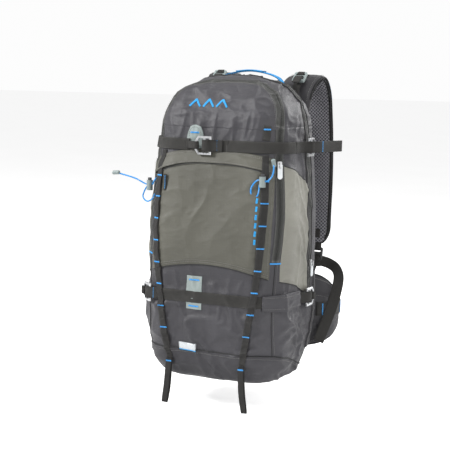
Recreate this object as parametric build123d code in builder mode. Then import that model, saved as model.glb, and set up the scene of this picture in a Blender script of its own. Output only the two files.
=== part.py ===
from build123d import *
import os
from math import cos, radians, sin

# Ski backpack. Millimetres. +Z is up, -Y is the outer front of the pack and +Y is
# the wearer's side. The origin is the middle of the flat base, on the ground.

# ---------------------------------------------------------------- driving sizes
WALL = 2.5                      # the bag's coated fabric with its lining
WEBBING = 1.6                   # thickness of every webbing
SKI_STRAP = 20.0                # width of the ski straps
CHAIN_WIDTH = 11.0              # width of the daisy chain webbing
CHAIN_PITCH = 38.0              # distance between bartacks
BELT_WEBBING = 25.0             # width of the hip belt webbing

# The bag's outline at each height: half width, front, back, front and back corner radius.
SECTIONS = [
    (3, 92, -56, 56, 36, 24),
    (24, 116, -85, 70, 50, 28),
    (80, 131, -99, 79, 60, 30),
    (200, 136, -101, 80, 62, 30),
    (320, 134, -93, 80, 60, 30),
    (420, 127, -83, 78, 56, 30),
    (475, 118, -70, 74, 50, 28),
    (508, 99, -48, 66, 40, 26),
    (530, 60, -12, 48, 22, 20),
]
BAG_TOP = SECTIONS[-1][0]

# Fabric is sewn on in layers. Each layer is a pair of distances outside the bag.
PANEL_LAYER = (0.6, 2.2)        # panels, zip tapes and patches
FLAP_LAYER = (2.8, 4.2)         # pocket flap and lower ski strap
CHAIN_LAYER = (4.8, 6.0)        # daisy chains and the strap sleeve
STRAP_LAYER = (6.6, 8.2)        # upper ski strap
BARTACK_LAYER = (6.2, 7.0)

FOLD_LEVEL = 450.0              # the top flap folds forwards about this line
FLAP_GAP = 1.2                  # between the flap and the mouth it closes
MOUTH_REAR = -15.0              # the zip crosses the top of the bag here
UPPER_STRAP_LEVEL = 416.0
LOWER_STRAP_LEVEL = 152.0

HOOK_LIFT = 12.5                # middle of a hook buckle above the bag
HOOK_THICK = 3.2
HOOK_BAR = 2.0                  # from a hook's middle to the bar its strap turns on
HOOK_ANCHOR = 14.0              # from a hook's middle to the bar its anchor holds
SIDE_HOOK_Y = 16.0

CORD_RADIUS = 1.3
os.makedirs("parts", exist_ok=True)


# ------------------------------------------------------------- the bag's surface
def section_at(level):
    """The bag's outline values at a height, between the two nearest sections."""
    for low, high in zip(SECTIONS, SECTIONS[1:]):
        if level <= high[0]:
            share = (level - low[0]) / (high[0] - low[0])
            return [a + share * (b - a) for a, b in zip(low[1:], high[1:])]
    return list(SECTIONS[-1][1:])


def facing(point, turn):
    """A plane at a point whose normal is turned from +X, with its x level and y up."""
    c, s = cos(radians(turn)), sin(radians(turn))
    return Plane(origin=point, x_dir=(-s, c, 0), z_dir=(c, s, 0))


def corner_plane(level, turn, lift):
    """A plane on the bag's right front corner. Turn -90 faces forwards, 0 sideways."""
    half_width, front, back, radius, back_radius = section_at(level)
    reach = radius + lift
    x = half_width - radius + reach * cos(radians(turn))
    y = front + radius + reach * sin(radians(turn))
    return facing((x, y, level), turn)


def bag_form(grow):
    """The bag's outer form, grown outwards."""
    with BuildPart() as form:
        for level, half_width, front, back, front_radius, back_radius in SECTIONS:
            rise = {SECTIONS[0][0]: -grow, BAG_TOP: grow}.get(level, 0)
            with BuildSketch(Plane.XY.offset(level + rise)) as outline:
                with Locations((0, (front + back) / 2)):
                    Rectangle(2 * (half_width + grow), back - front + 2 * grow)
                fillet(outline.vertices().group_by(Axis.Y)[0], front_radius + grow)
                fillet(outline.vertices().group_by(Axis.Y)[-1], back_radius + grow)
        loft(ruled=True)
    return form.part


def layer(limits):
    """The skin between two distances outside the bag."""
    with BuildPart() as skin:
        add(bag_form(limits[1]))
        add(bag_form(limits[0]), mode=Mode.SUBTRACT)
    return skin.part


def mirrored(shape):
    """The left-hand copy of a right-hand shape."""
    with BuildPart() as copy:
        mirror(shape, about=Plane.YZ)
    return copy.part


def both_sides(shape):
    """A right-hand shape together with its left-hand copy."""
    with BuildPart() as pair:
        add(shape)
        mirror(shape, about=Plane.YZ)
    return pair.part


def save(shape, name):
    shape.label = name
    export_step(shape, f"parts/{name}.step")


PANEL_SKIN = layer(PANEL_LAYER)
FLAP_SKIN = layer(FLAP_LAYER)
CHAIN_SKIN = layer(CHAIN_LAYER)
STRAP_SKIN = layer(STRAP_LAYER)
BARTACK_SKIN = layer(BARTACK_LAYER)


# ---------------------------------------------------------------- bag and panels
def mouth(spread, rear, low=FOLD_LEVEL):
    """The region in front of the inverted-U zip, above the fold line."""
    sides = [(109, low), (102, 488), (79, 520), (60, 560)]
    right = [(x + spread, z) for x, z in sides]
    left = [(-x, z) for x, z in reversed(right)]
    with BuildPart() as region:
        with BuildSketch(Plane.XZ.offset(-rear)):
            with BuildLine():
                ThreePointArc(right[0], right[1], right[2])
                Polyline(right[2], right[3], left[0], left[1])
                ThreePointArc(left[1], left[2], left[3])
                Line(left[3], right[0])
            make_face()
        extrude(amount=140)
    return region.part


with BuildPart() as main_bag:
    add(bag_form(0))
    add(bag_form(-WALL), mode=Mode.SUBTRACT)
    add(mouth(0, MOUTH_REAR), mode=Mode.SUBTRACT)
save(main_bag.part, "main_bag")

with BuildPart() as top_flap:
    add(bag_form(0))
    add(bag_form(-WALL), mode=Mode.SUBTRACT)
    add(mouth(-FLAP_GAP, MOUTH_REAR - FLAP_GAP, FOLD_LEVEL + 0.6), mode=Mode.INTERSECT)
save(top_flap.part, "top_flap")

with BuildPart() as top_zip_tape:
    add(PANEL_SKIN)
    add(mouth(-FLAP_GAP, MOUTH_REAR - FLAP_GAP, FOLD_LEVEL + 0.6), mode=Mode.INTERSECT)
    add(mouth(-6.5, MOUTH_REAR - 8.0, FOLD_LEVEL - 5), mode=Mode.SUBTRACT)
save(top_zip_tape.part, "top_zip_tape")

with BuildPart() as base_panel:
    # The base panel turns up further at the front than at the back.
    add(layer((0.5, 3.0)))
    with BuildSketch(Plane.YZ.offset(-200)):
        with BuildLine():
            Polyline((-130, -10), (-130, 68), (90, 12), (90, -10), close=True)
        make_face()
    extrude(amount=400, mode=Mode.INTERSECT)
save(base_panel.part, "base_panel")

with BuildPart() as front_pocket:
    add(PANEL_SKIN)
    with BuildSketch(Plane.XZ):
        with BuildLine():
            ThreePointArc((-112, 190), (0, 210), (112, 190))
            Line((112, 190), (112, 362))
            ThreePointArc((112, 362), (0, 394), (-112, 362))
            Line((-112, 362), (-112, 190))
        make_face()
    extrude(amount=140, mode=Mode.INTERSECT)
save(front_pocket.part, "front_pocket")

with BuildPart() as pocket_flap:
    add(FLAP_SKIN)
    with BuildSketch(Plane.XZ):
        with BuildLine():
            ThreePointArc((-111, 360), (0, 386), (111, 360))
            Line((111, 360), (111, 392))
            ThreePointArc((111, 392), (0, 411), (-111, 392))
            Line((-111, 392), (-111, 360))
        make_face()
    extrude(amount=140, mode=Mode.INTERSECT)
save(pocket_flap.part, "pocket_flap")

with BuildPart() as side_panel:
    add(PANEL_SKIN)
    with BuildSketch(Plane.YZ.offset(127)):
        with BuildLine():
            Line((-80, 190), (-45, 188))
            ThreePointArc((-45, 188), (-5, 176), (21.5, 156))
            Line((21.5, 156), (21.5, 352))
            ThreePointArc((21.5, 352), (-12, 376), (-58, 388))
            Polyline((-58, 388), (-80, 389), (-80, 190))
        make_face()
    extrude(amount=30, mode=Mode.INTERSECT)
save(both_sides(side_panel.part), "side_panels")

# ---------------------------------------------------------------- zips on the bag
ZIP_HALF_WIDTH = 5.5
ZIP_LINE = [(119, 225), (121, 300), (118, 385), (113, 430), (110, 447)]

with BuildPart() as front_zip:
    add(PANEL_SKIN)
    with BuildSketch(Plane.XZ):
        inner = [(x - ZIP_HALF_WIDTH, z) for x, z in ZIP_LINE]
        outer = [(x + ZIP_HALF_WIDTH, z) for x, z in ZIP_LINE]
        with BuildLine():
            Spline(*inner)
            Line(inner[-1], outer[-1])
            Spline(*reversed(outer))
            Line(outer[0], inner[0])
        make_face()
    extrude(amount=140, mode=Mode.INTERSECT)

with BuildPart() as mouth_tape:
    add(PANEL_SKIN)
    add(mouth(5.5, MOUTH_REAR + 6.5, FOLD_LEVEL + 0.6), mode=Mode.INTERSECT)
    add(mouth(0, MOUTH_REAR, FOLD_LEVEL - 5), mode=Mode.SUBTRACT)

with BuildPart() as front_zip_tape:
    add(both_sides(front_zip.part))
    add(mouth_tape.part)
save(front_zip_tape.part, "front_zip_tape")

with BuildPart() as back_zip_tape:
    add(PANEL_SKIN)
    with BuildSketch(Plane.YZ.offset(-160)):
        with Locations((28, 360)):
            Rectangle(11, 420)
    extrude(amount=320, mode=Mode.INTERSECT)
save(back_zip_tape.part, "back_zip_tape")

# ------------------------------------------------------------------ daisy chains
CHAIN_LINE = [(96, 404), (99, 310), (95, 210), (86, 132), (74, 62), (70, 38)]

with BuildPart() as chain:
    add(CHAIN_SKIN)
    with BuildSketch(Plane.XZ):
        inner = [(x - CHAIN_WIDTH / 2, z) for x, z in CHAIN_LINE]
        outer = [(x + CHAIN_WIDTH / 2, z) for x, z in CHAIN_LINE]
        with BuildLine():
            Spline(*inner)
            Line(inner[-1], outer[-1])
            Spline(*reversed(outer))
            Line(outer[0], inner[0])
        make_face()
    extrude(amount=140, mode=Mode.INTERSECT)
save(both_sides(chain.part), "daisy_chains")


def chain_x(level):
    """Where the daisy chain's middle is at a height."""
    for (x_high, high), (x_low, low) in zip(CHAIN_LINE, CHAIN_LINE[1:]):
        if level >= low:
            return x_low + (x_high - x_low) * (level - low) / (high - low)
    return CHAIN_LINE[-1][0]


with BuildPart() as bartack_row:
    add(BARTACK_SKIN)
    with BuildSketch(Plane.XZ):
        for row in range(10):
            level = 398 - CHAIN_PITCH * row
            with Locations((chain_x(level), level)):
                Rectangle(CHAIN_WIDTH + 1, 3)
    extrude(amount=140, mode=Mode.INTERSECT)
save(both_sides(bartack_row.part), "bartacks")

# --------------------------------------------------------- patches under the loops
with BuildPart() as strap_patches:
    add(PANEL_SKIN)
    with BuildSketch(Plane.XZ):
        with Locations((-39, 421)):
            RectangleRounded(34, 52, 12)
        with Locations((-23, 158)):
            RectangleRounded(30, 60, 6)
    extrude(amount=140, mode=Mode.INTERSECT)
save(strap_patches.part, "strap_patches")


# ------------------------------------------------------------------- ski straps
def hook_buckle(place, side):
    """A cut metal hook. The strap turns on its middle bar; side is where the strap leaves."""
    frame = [(-16, -8), (-10, -16), (15, -16), (15, 16), (-10, 16), (-16, 8)]
    window = [(-12, -6.5), (-8, -12.2), (0, -12.2), (0, 12.2), (-8, 12.2), (-12, 6.5)]
    with BuildPart() as hook:
        with BuildSketch(place.offset(-HOOK_THICK / 2)) as outline:
            with BuildLine():
                Polyline(*[(side * u, v) for u, v in frame], close=True)
            make_face()
            with BuildLine():
                Polyline(*[(side * u, v) for u, v in window], close=True)
            make_face(mode=Mode.SUBTRACT)
            with Locations((side * 9.6, 0)):
                Rectangle(11.2, 24.4, mode=Mode.SUBTRACT)
            for v in (-11.4, 11.4):
                with Locations((side * 13, v)):
                    Rectangle(4, 2)
            with Locations((side * 2, -11)):
                Rectangle(4, 2.4, mode=Mode.SUBTRACT)
        extrude(amount=HOOK_THICK)
        chamfer(hook.faces().sort_by(SortBy.AREA)[-2:].edges(), 0.4)
    return hook.part


def webbing_ring(place, along, height, reach=0.0):
    """A turn of webbing round a bar; reach lets the bar move outwards inside it."""
    start = place.from_local_coords((along, -height / 2, reach / 2))
    with BuildPart() as ring:
        with BuildSketch(Plane(origin=start, x_dir=place.x_dir, z_dir=(0, 0, 1))):
            RectangleRounded(9.6, 8.0 + reach, 3.2)
            RectangleRounded(6.6, 5.2 + reach, 2.0, mode=Mode.SUBTRACT)
        extrude(amount=height)
    return ring.part


def webbing_ramp(place, points, height):
    """Webbing that leaves a ring for the bag. Points are (along, above the plane)."""
    floor = place.from_local_coords((0, -height / 2, 0))
    with BuildPart() as ramp:
        with BuildSketch(Plane(origin=floor, x_dir=place.x_dir, z_dir=(0, 0, 1))):
            # This plane's y runs into the bag, so heights change sign.
            with BuildLine():
                Polyline(*[(u, -n) for u, n in points])
            trace(line_width=WEBBING)
        extrude(amount=height)
    return ramp.part


def band(skin, level, width, low, high):
    """A level band of a skin between two corners (x, y) of a box."""
    with BuildPart() as strip:
        add(skin)
        with BuildSketch(Plane.XY.offset(level - width / 2)):
            with Locations(((low[0] + high[0]) / 2, (low[1] + high[1]) / 2)):
                Rectangle(high[0] - low[0], high[1] - low[1])
        extrude(amount=width, mode=Mode.INTERSECT)
    return strip.part


def webbing_run(points, level, width):
    """A free length of webbing that stands on edge along a curve seen from above."""
    with BuildPart() as run:
        with BuildSketch(Plane.XY.offset(level - width / 2)):
            with BuildLine():
                Spline(*points)
            trace(line_width=WEBBING)
        extrude(amount=width)
    return run.part


upper_front_y = section_at(UPPER_STRAP_LEVEL)[1]
upper_side_x = section_at(UPPER_STRAP_LEVEL)[0]
lower_side_x = section_at(LOWER_STRAP_LEVEL)[0]
upper_place = facing((-15, upper_front_y - HOOK_LIFT, UPPER_STRAP_LEVEL), -90)
side_place = facing((upper_side_x + HOOK_LIFT + 0.6, SIDE_HOOK_Y, UPPER_STRAP_LEVEL), 0)
low_side_place = facing((lower_side_x + HOOK_LIFT, SIDE_HOOK_Y, LOWER_STRAP_LEVEL), 0)
lower_place = corner_plane(LOWER_STRAP_LEVEL, -50, HOOK_LIFT)

save(hook_buckle(upper_place, 1), "upper_hook")
save(hook_buckle(side_place, -1), "side_hook_right")
save(mirrored(hook_buckle(side_place, -1)), "side_hook_left")
save(hook_buckle(low_side_place, -1), "lower_side_hook")
save(mirrored(hook_buckle(lower_place, -1)), "lower_hook")

with BuildPart() as upper_ski_strap:
    add(band(STRAP_SKIN, UPPER_STRAP_LEVEL, SKI_STRAP, (3, -140), (160, -2)))
    add(webbing_ring(upper_place, HOOK_BAR, SKI_STRAP))
    add(webbing_ramp(upper_place, [(4, -3.2), (12, -5.0), (24, -5.2)], SKI_STRAP))
    add(webbing_ring(side_place, -HOOK_BAR, SKI_STRAP))
    add(webbing_ramp(side_place, [(-4, -3.2), (-12, -5.0), (-24, -5.2)], SKI_STRAP))
    # The free end leaves the side buckle and stands away from the pack.
    tail_x = upper_side_x + HOOK_LIFT
    add(
        webbing_run(
            [(tail_x + 4, 12), (tail_x + 9.5, 25), (tail_x + 16, 58), (tail_x + 28, 96)],
            UPPER_STRAP_LEVEL,
            SKI_STRAP,
        )
    )
save(upper_ski_strap.part, "upper_ski_strap")

with BuildPart() as lower_ski_strap:
    add(band(FLAP_SKIN, LOWER_STRAP_LEVEL, SKI_STRAP, (-94, -140), (160, -4)))
    add(mirrored(webbing_ring(lower_place, -HOOK_BAR, SKI_STRAP)))
    add(mirrored(webbing_ramp(lower_place, [(-4, -3.2), (-10, -6), (-21.5, -12.6)], SKI_STRAP)))
    add(webbing_ring(low_side_place, -HOOK_BAR, SKI_STRAP))
    add(webbing_ramp(low_side_place, [(-4, -3.2), (-10, -6), (-22, -9.1)], SKI_STRAP))
save(lower_ski_strap.part, "lower_ski_strap")

with BuildPart() as side_straps:
    # The left ends of both straps: the upper one starts at the patch beside its hook.
    add(band(STRAP_SKIN, UPPER_STRAP_LEVEL, SKI_STRAP, (-160, -140), (-50, -2)))
    add(mirrored(webbing_ring(side_place, -HOOK_BAR, SKI_STRAP)))
    add(mirrored(webbing_ramp(side_place, [(-4, -3.2), (-12, -5.0), (-24, -5.2)], SKI_STRAP)))
    add(
        mirrored(
            webbing_run(
                [(tail_x + 4, 12), (tail_x + 9.5, 25), (tail_x + 14, 44)],
                UPPER_STRAP_LEVEL,
                SKI_STRAP,
            )
        )
    )
    add(band(FLAP_SKIN, LOWER_STRAP_LEVEL, 13, (-160, -50), (-118, 62)))
    add(mirrored(webbing_ring(lower_place, HOOK_ANCHOR, 13, 2.4)))
    add(mirrored(webbing_ramp(lower_place, [(16, -3.2), (24, -12), (32, -18)], 13)))
save(side_straps.part, "side_straps")

with BuildPart() as anchor_loops:
    add(webbing_ring(upper_place, -HOOK_ANCHOR, 12, 2.4))
    add(webbing_ramp(upper_place, [(-16, -3.2), (-22, -5.6), (-33, -5.6)], 12))
    right_anchor = webbing_ring(side_place, HOOK_ANCHOR, 12, 2.4)
    right_ramp = webbing_ramp(side_place, [(16, -3.2), (24, -8), (44, -8.6)], 12)
    add(both_sides(right_anchor))
    add(both_sides(right_ramp))
    add(webbing_ring(low_side_place, HOOK_ANCHOR, 12, 2.4))
    add(webbing_ramp(low_side_place, [(16, -3.2), (24, -8), (44, -8.6)], 12))
save(anchor_loops.part, "anchor_loops")

save(
    band(CHAIN_SKIN, LOWER_STRAP_LEVEL - 1, 26, (103, -140), (160, -14)),
    "strap_sleeve",
)

# --------------------------------------------------------- frame inside the bag
STAY_X = 45.0
RIVET_LEVELS = (80.0, 420.0)
rivet_places = [(x, z) for x in (-STAY_X, STAY_X) for z in RIVET_LEVELS]

with BuildPart() as frame_sheet:
    with BuildSketch(Plane.XZ.offset(-67.5)):
        with Locations((0, 250)):
            RectangleRounded(190, 400, 30)
        with Locations(*rivet_places):
            Circle(2.0, mode=Mode.SUBTRACT)
    extrude(amount=1.5)
save(frame_sheet.part, "frame_sheet")

with BuildPart() as frame_stays:
    with BuildSketch(Plane.XZ.offset(-65.6)):
        with Locations((-STAY_X, 250), (STAY_X, 250)):
            RectangleRounded(12, 380, 5)
        with Locations(*rivet_places):
            Circle(2.0, mode=Mode.SUBTRACT)
    extrude(amount=3.0)
save(frame_stays.part, "frame_stays")

with BuildPart() as stay_rivets:
    with BuildSketch(Plane.XZ.offset(-68.9)):
        with Locations(*rivet_places):
            Circle(4.0)
    extrude(amount=1.2)
    with BuildSketch(Plane.XZ.offset(-68.9)):
        with Locations(*rivet_places):
            Circle(1.9)
    extrude(amount=7.7)
    with BuildSketch(Plane.XZ.offset(-62.4)):
        with Locations(*rivet_places):
            Circle(4.0)
    extrude(amount=1.2)
save(stay_rivets.part, "stay_rivets")

with BuildPart() as hydration_sleeve:
    with BuildSketch(Plane.XY.offset(120)):
        with Locations((0, 54)):
            RectangleRounded(160, 8, 2)
    extrude(amount=220)
    with BuildSketch(Plane.XY.offset(121)):
        with Locations((0, 54)):
            RectangleRounded(158, 6, 1.5)
    extrude(amount=220, mode=Mode.SUBTRACT)
save(hydration_sleeve.part, "hydration_sleeve")

# ------------------------------------------------------------ padding on the back
with BuildPart() as back_pads:
    with BuildSketch(Plane.XZ.offset(-81.5)):
        with Locations((-56, 318), (56, 318)):
            RectangleRounded(76, 250, 24)
    extrude(amount=-12)
    with BuildSketch(Plane.XZ.offset(-81.5)):
        with Locations((0, 122)):
            RectangleRounded(176, 96, 30)
    extrude(amount=-15)
    fillet(back_pads.faces().filter_by(Axis.Y).group_by(Axis.Y)[-1].edges(), 4)
    fillet(back_pads.faces().filter_by(Axis.Y).group_by(Axis.Y)[-2].edges(), 4)
save(back_pads.part, "back_pads")

# --------------------------------------------------------------- haul loop on top
with BuildPart() as haul_loop:
    with BuildSketch(Plane.XZ.offset(-70)):
        with BuildLine():
            Spline((-62, 527), (-52, 538), (0, 545), (52, 538), (62, 527))
        trace(line_width=2.2)
    extrude(amount=16)
save(haul_loop.part, "haul_loop")


# --------------------------------------------------------------- shoulder straps
PAD_WIDTH = 62.0
PAD_THICK = 13.0
PAD_STEPS = 16
PAD_LINE = [
    (72, 91, 478),
    (74, 98, 508),
    (79, 117, 530),
    (85, 140, 533),
    (89, 155, 508),
    (92, 159, 460),
    (96, 158, 400),
    (100, 154, 340),
    (103, 147, 285),
    (106, 141, 232),
]


def pad_solid():
    """The padded strap, from the yoke over the top and down to its ladder lock."""
    with BuildLine() as line:
        Spline(*PAD_LINE)
    with BuildPart() as pad:
        for step in range(PAD_STEPS + 1):
            share = step / PAD_STEPS
            heading = line.line % share
            across = Vector(1, 0, 0) - heading * heading.X
            with BuildSketch(Plane(origin=line.line @ share, x_dir=across, z_dir=heading)):
                RectangleRounded(PAD_WIDTH, PAD_THICK, 5)
        loft(ruled=True)
    return pad.part


def ladder_lock(place, width):
    """A plastic ladder lock: three bars and a thumb lip."""
    with BuildPart() as lock:
        with BuildSketch(place):
            RectangleRounded(width + 8, 24, 3)
            with Locations((0, 6), (0, -4)):
                Rectangle(width + 1, 5, mode=Mode.SUBTRACT)
        extrude(amount=2, both=True)
        with BuildSketch(place.offset(2)):
            with Locations((0, -11)):
                Rectangle(width, 2)
        extrude(amount=2.5)
    return lock.part


LADDER_PLACE = Plane(origin=(106.5, 138.5, 211), x_dir=(-1, 0, 0), z_dir=(0, 0.97, -0.24))
LIFTER_PLACE = Plane(origin=(81, 98, 536), x_dir=(1, 0, 0), z_dir=(0, -0.66, 0.75))

right_pad = pad_solid()
save(right_pad, "shoulder_strap_right")
save(mirrored(right_pad), "shoulder_strap_left")
right_ladder = ladder_lock(LADDER_PLACE, 21)
save(right_ladder, "ladder_lock_right")
save(mirrored(right_ladder), "ladder_lock_left")
right_lifter = ladder_lock(LIFTER_PLACE, 16)
save(right_lifter, "lifter_lock_right")
save(mirrored(right_lifter), "lifter_lock_left")


def ribbon(points, width, facing_out):
    """Webbing swept along a curve in space, its face turned towards facing_out."""
    with BuildPart() as strip:
        with BuildLine() as line:
            Spline(*points)
        heading = line.line % 0
        across = Vector(*facing_out).cross(heading).normalized()
        with BuildSketch(Plane(origin=line.line @ 0, x_dir=across, z_dir=heading)):
            Rectangle(width, WEBBING)
        sweep(path=line.line)
    return strip.part


TAIL_LINE = [(112, 150, 203), (148, 152, 196), (168, 130, 172), (165, 102, 118), (154, 76, 60)]
ANCHOR_LINE = [(86, 99, 58), (92, 110, 118), (103, 133, 190)]
LIFTER_LINE = [(80, 73.4, 488), (80, 73.8, 500), (80, 85, 519)]

with BuildPart() as lower_webbing:
    # One webbing: up from the pack's lower corner, and its free tail past the ladder lock.
    add(ribbon(ANCHOR_LINE, SKI_STRAP, (0, 1, 0)))
    add(ribbon(TAIL_LINE, SKI_STRAP, (0.3, 1, 0.2)))
save(lower_webbing.part, "lower_webbing_right")
save(mirrored(lower_webbing.part), "lower_webbing_left")
save(both_sides(ribbon(LIFTER_LINE, 15, (0, 1, 0))), "lifter_webbing")

# ---------------------------------------------------------------- sternum strap
STERNUM_LEVEL = 402.0
STERNUM_Y = 168.0

with BuildPart() as sternum_right:
    # A slider that grips the pad's edge webbing, and a short strap to the buckle.
    with BuildSketch(Plane.XZ.offset(-STERNUM_Y)):
        with Locations((82, STERNUM_LEVEL)):
            RectangleRounded(34, 14, 3)
    extrude(amount=-5)
    with BuildSketch(Plane.XZ.offset(-STERNUM_Y - 1.5)):
        with Locations((52, STERNUM_LEVEL)):
            Rectangle(28, 18)
    extrude(amount=-WEBBING)
save(sternum_right.part, "sternum_strap_right")
save(mirrored(sternum_right.part), "sternum_strap_left")


def buckle_plug(place, width):
    """The prong half of a side-release buckle. Its prongs point along -x of the plane."""
    with BuildPart() as plug:
        with BuildSketch(place):
            Rectangle(12, width + 6)
            Rectangle(4, width, mode=Mode.SUBTRACT)
            with Locations((-13, 0)):
                Rectangle(15, 3)
            for side in (-1, 1):
                with Locations((-12, side * (width / 2 - 0.5))):
                    Rectangle(13, 3)
                with Locations((-17, side * (width / 2 + 0.6))):
                    Rectangle(3, 3)
        extrude(amount=2.4, both=True)
    return plug.part


def buckle_socket(place, width):
    """The hollow half of a side-release buckle. Its mouth opens along +x of the plane."""
    with BuildPart() as socket:
        with BuildSketch(place):
            RectangleRounded(26, width + 8, 2.5)
            with Locations((-9, 0)):
                Rectangle(4, width, mode=Mode.SUBTRACT)
        extrude(amount=4, both=True)
        with BuildSketch(place):
            with Locations((4, 0)):
                Rectangle(19, width + 3.4)
        extrude(amount=2.8, both=True, mode=Mode.SUBTRACT)
    return socket.part


sternum_plug_place = Plane(origin=(32, STERNUM_Y + 2.3, STERNUM_LEVEL), x_dir=(1, 0, 0), z_dir=(0, -1, 0))
sternum_socket_place = Plane(origin=(-24, STERNUM_Y + 2.3, STERNUM_LEVEL), x_dir=(1, 0, 0), z_dir=(0, -1, 0))
save(buckle_plug(sternum_plug_place, 18), "sternum_plug")
save(buckle_socket(sternum_socket_place, 18), "sternum_socket")

# -------------------------------------------------------------------- hip belt
WING_LINE = [(113, 91), (132, 101), (143, 130), (141, 165), (128, 200)]

with BuildPart() as hip_wing:
    with BuildSketch(Plane.XY.offset(50)):
        with BuildLine():
            Spline(*WING_LINE)
        trace(line_width=12)
    extrude(amount=130)
    # The wing is tall where it is sewn to the pack and narrows towards its tip.
    with BuildSketch(Plane.YZ):
        with BuildLine():
            Spline((80, 180), (120, 168), (160, 142), (215, 132))
            Polyline((215, 132), (215, 82), (80, 50), (80, 180))
        make_face()
    extrude(amount=200, mode=Mode.INTERSECT)
save(hip_wing.part, "hip_wing_right")
save(mirrored(hip_wing.part), "hip_wing_left")

belt_run = webbing_run([(126, 208), (112, 232), (88, 248), (66, 253)], 107, BELT_WEBBING)
save(belt_run, "hip_webbing_right")
save(mirrored(belt_run), "hip_webbing_left")
belt_plug_place = Plane(origin=(58, 254, 107), x_dir=(1, 0, 0), z_dir=(0, -1, 0))
belt_socket_place = Plane(origin=(-51, 254, 107), x_dir=(1, 0, 0), z_dir=(0, -1, 0))
save(buckle_plug(belt_plug_place, 25), "hip_plug")
save(buckle_socket(belt_socket_place, 25), "hip_socket")


# ---------------------------------------------------------- zip sliders and pulls
def zip_slider(place):
    """A slider body with the bridge that holds its pull."""
    with BuildPart() as slider:
        with BuildSketch(place):
            RectangleRounded(8, 12, 2)
        extrude(amount=3.5)
        with BuildSketch(place.offset(3.5)):
            Rectangle(2.5, 8.4)
        extrude(amount=4.2)
        with BuildSketch(place.offset(3.5)):
            Rectangle(2.6, 5)
        extrude(amount=2.8, mode=Mode.SUBTRACT)
    return slider.part


def zip_pull(place):
    """A flat pull whose eye passes under the slider's bridge. It hangs down at rest."""
    with BuildPart() as pull:
        with BuildSketch(place.offset(4.2)):
            with BuildLine():
                Line((-4, 0.8), (4, 0.8))
                Line((4, 0.8), (4.5, -18))
                ThreePointArc((4.5, -18), (0, -24), (-4.5, -18))
                Line((-4.5, -18), (-4, 0.8))
            make_face()
            with Locations((0, -3.3)):
                Rectangle(4.4, 5, mode=Mode.SUBTRACT)
        extrude(amount=1.4)
    return pull.part


front_slider_place = corner_plane(388, -43, 4.0)
back_slider_place = facing((section_at(210)[0] + 3.4, 28, 210), 0)
save(zip_slider(front_slider_place), "front_zip_slider")
save(zip_pull(front_slider_place), "front_zip_pull")
save(zip_slider(back_slider_place), "back_zip_slider")
save(zip_pull(back_slider_place), "back_zip_pull")

with BuildPart() as pocket_pull:
    with BuildSketch(corner_plane(349, -79, 6.0)):
        SlotOverall(30, 6, rotation=90)
        with Locations((0, 3)):
            SlotOverall(16, 2.4, rotation=90, mode=Mode.SUBTRACT)
    extrude(amount=2.2)
save(mirrored(pocket_pull.part), "pocket_zip_pull")

# ------------------------------------------------------- ice axe cords and loops
LOCK_RIGHT = (100, -101, 362)
LOCK_LEFT = (-131, -73, 341)


def cord(points):
    """A length of elastic cord."""
    with BuildPart() as length:
        with BuildLine() as line:
            Spline(*points)
        with BuildSketch(Plane(origin=line.line @ 0, z_dir=line.line % 0)):
            Circle(CORD_RADIUS)
        sweep(path=line.line)
    return length.part


def lock_barrel(spot):
    """The cord lock's outer barrel, with a cross hole for the cord."""
    x, y, z = spot
    with BuildPart() as barrel:
        with BuildSketch(Plane.XY.offset(z - 11)):
            with Locations((x, y)):
                Circle(5.5)
        extrude(amount=18)
        with BuildSketch(Plane.XY.offset(z - 9.5)):
            with Locations((x, y)):
                Circle(3.7)
        extrude(amount=20, mode=Mode.SUBTRACT)
        with BuildSketch(Plane.YZ.offset(x - 8)):
            with Locations((y, z)):
                Circle(2.2)
        extrude(amount=16, mode=Mode.SUBTRACT)
    return barrel.part


def lock_plunger(spot):
    """The cord lock's button. Its slot lets the cord through in every position."""
    x, y, z = spot
    with BuildPart() as plunger:
        with BuildSketch(Plane.XY.offset(z - 3.6)):
            with Locations((x, y)):
                Circle(3.4)
        extrude(amount=15)
        with BuildSketch(Plane.YZ.offset(x - 8)):
            with Locations((y, z + 1.7)):
                SlotOverall(7.4, 3.6, rotation=90)
        extrude(amount=16, mode=Mode.SUBTRACT)
    return plunger.part


def lock_spring(spot):
    """The spring under the button."""
    x, y, z = spot
    with BuildPart() as spring:
        with BuildLine() as coil:
            Helix(pitch=1.5, height=4.5, radius=2.6, center=(x, y, z - 8.8))
        with BuildSketch(Plane(origin=coil.line @ 0, z_dir=coil.line % 0)):
            Circle(0.4)
        sweep(path=coil.line, is_frenet=True)
    return spring.part


with BuildPart() as cord_locks:
    add(lock_barrel(LOCK_RIGHT))
    add(lock_barrel(LOCK_LEFT))
save(cord_locks.part, "cord_locks")
save(lock_plunger(LOCK_RIGHT), "cord_button_right")
save(lock_plunger(LOCK_LEFT), "cord_button_left")

with BuildPart() as cord_springs:
    add(lock_spring(LOCK_RIGHT))
    add(lock_spring(LOCK_LEFT))
save(cord_springs.part, "cord_springs")

with BuildPart() as axe_cords:
    # Each cord runs from the daisy chain through its lock to a grip.
    add(cord([(87, -98, 338), (82, -101, 350), (91, -101, 362), (100, -101, 362), (109, -101, 362), (116, -96, 372), (115, -88, 384)]))
    add(cord([(-117, -82, 350), (-122, -75, 342), (-131, -73, 341), (-140, -73, 341), (-160, -76, 350), (-189, -78, 357)]))
    add(cord([(-139, -77, 330), (-141, -79, 318), (-130, -83, 311), (-119, -83, 315)]))
save(axe_cords.part, "axe_cords")

with BuildPart() as cord_grips:
    with Locations(Location((113.5, -86.5, 392), (28, 0, 0))):
        Cylinder(3.6, 14)
    with Locations(Location((-197, -78.5, 358), (0, 85, 0))):
        Cylinder(3.6, 14)
    fillet(cord_grips.edges(), 1.6)
save(cord_grips.part, "cord_grips")

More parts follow.
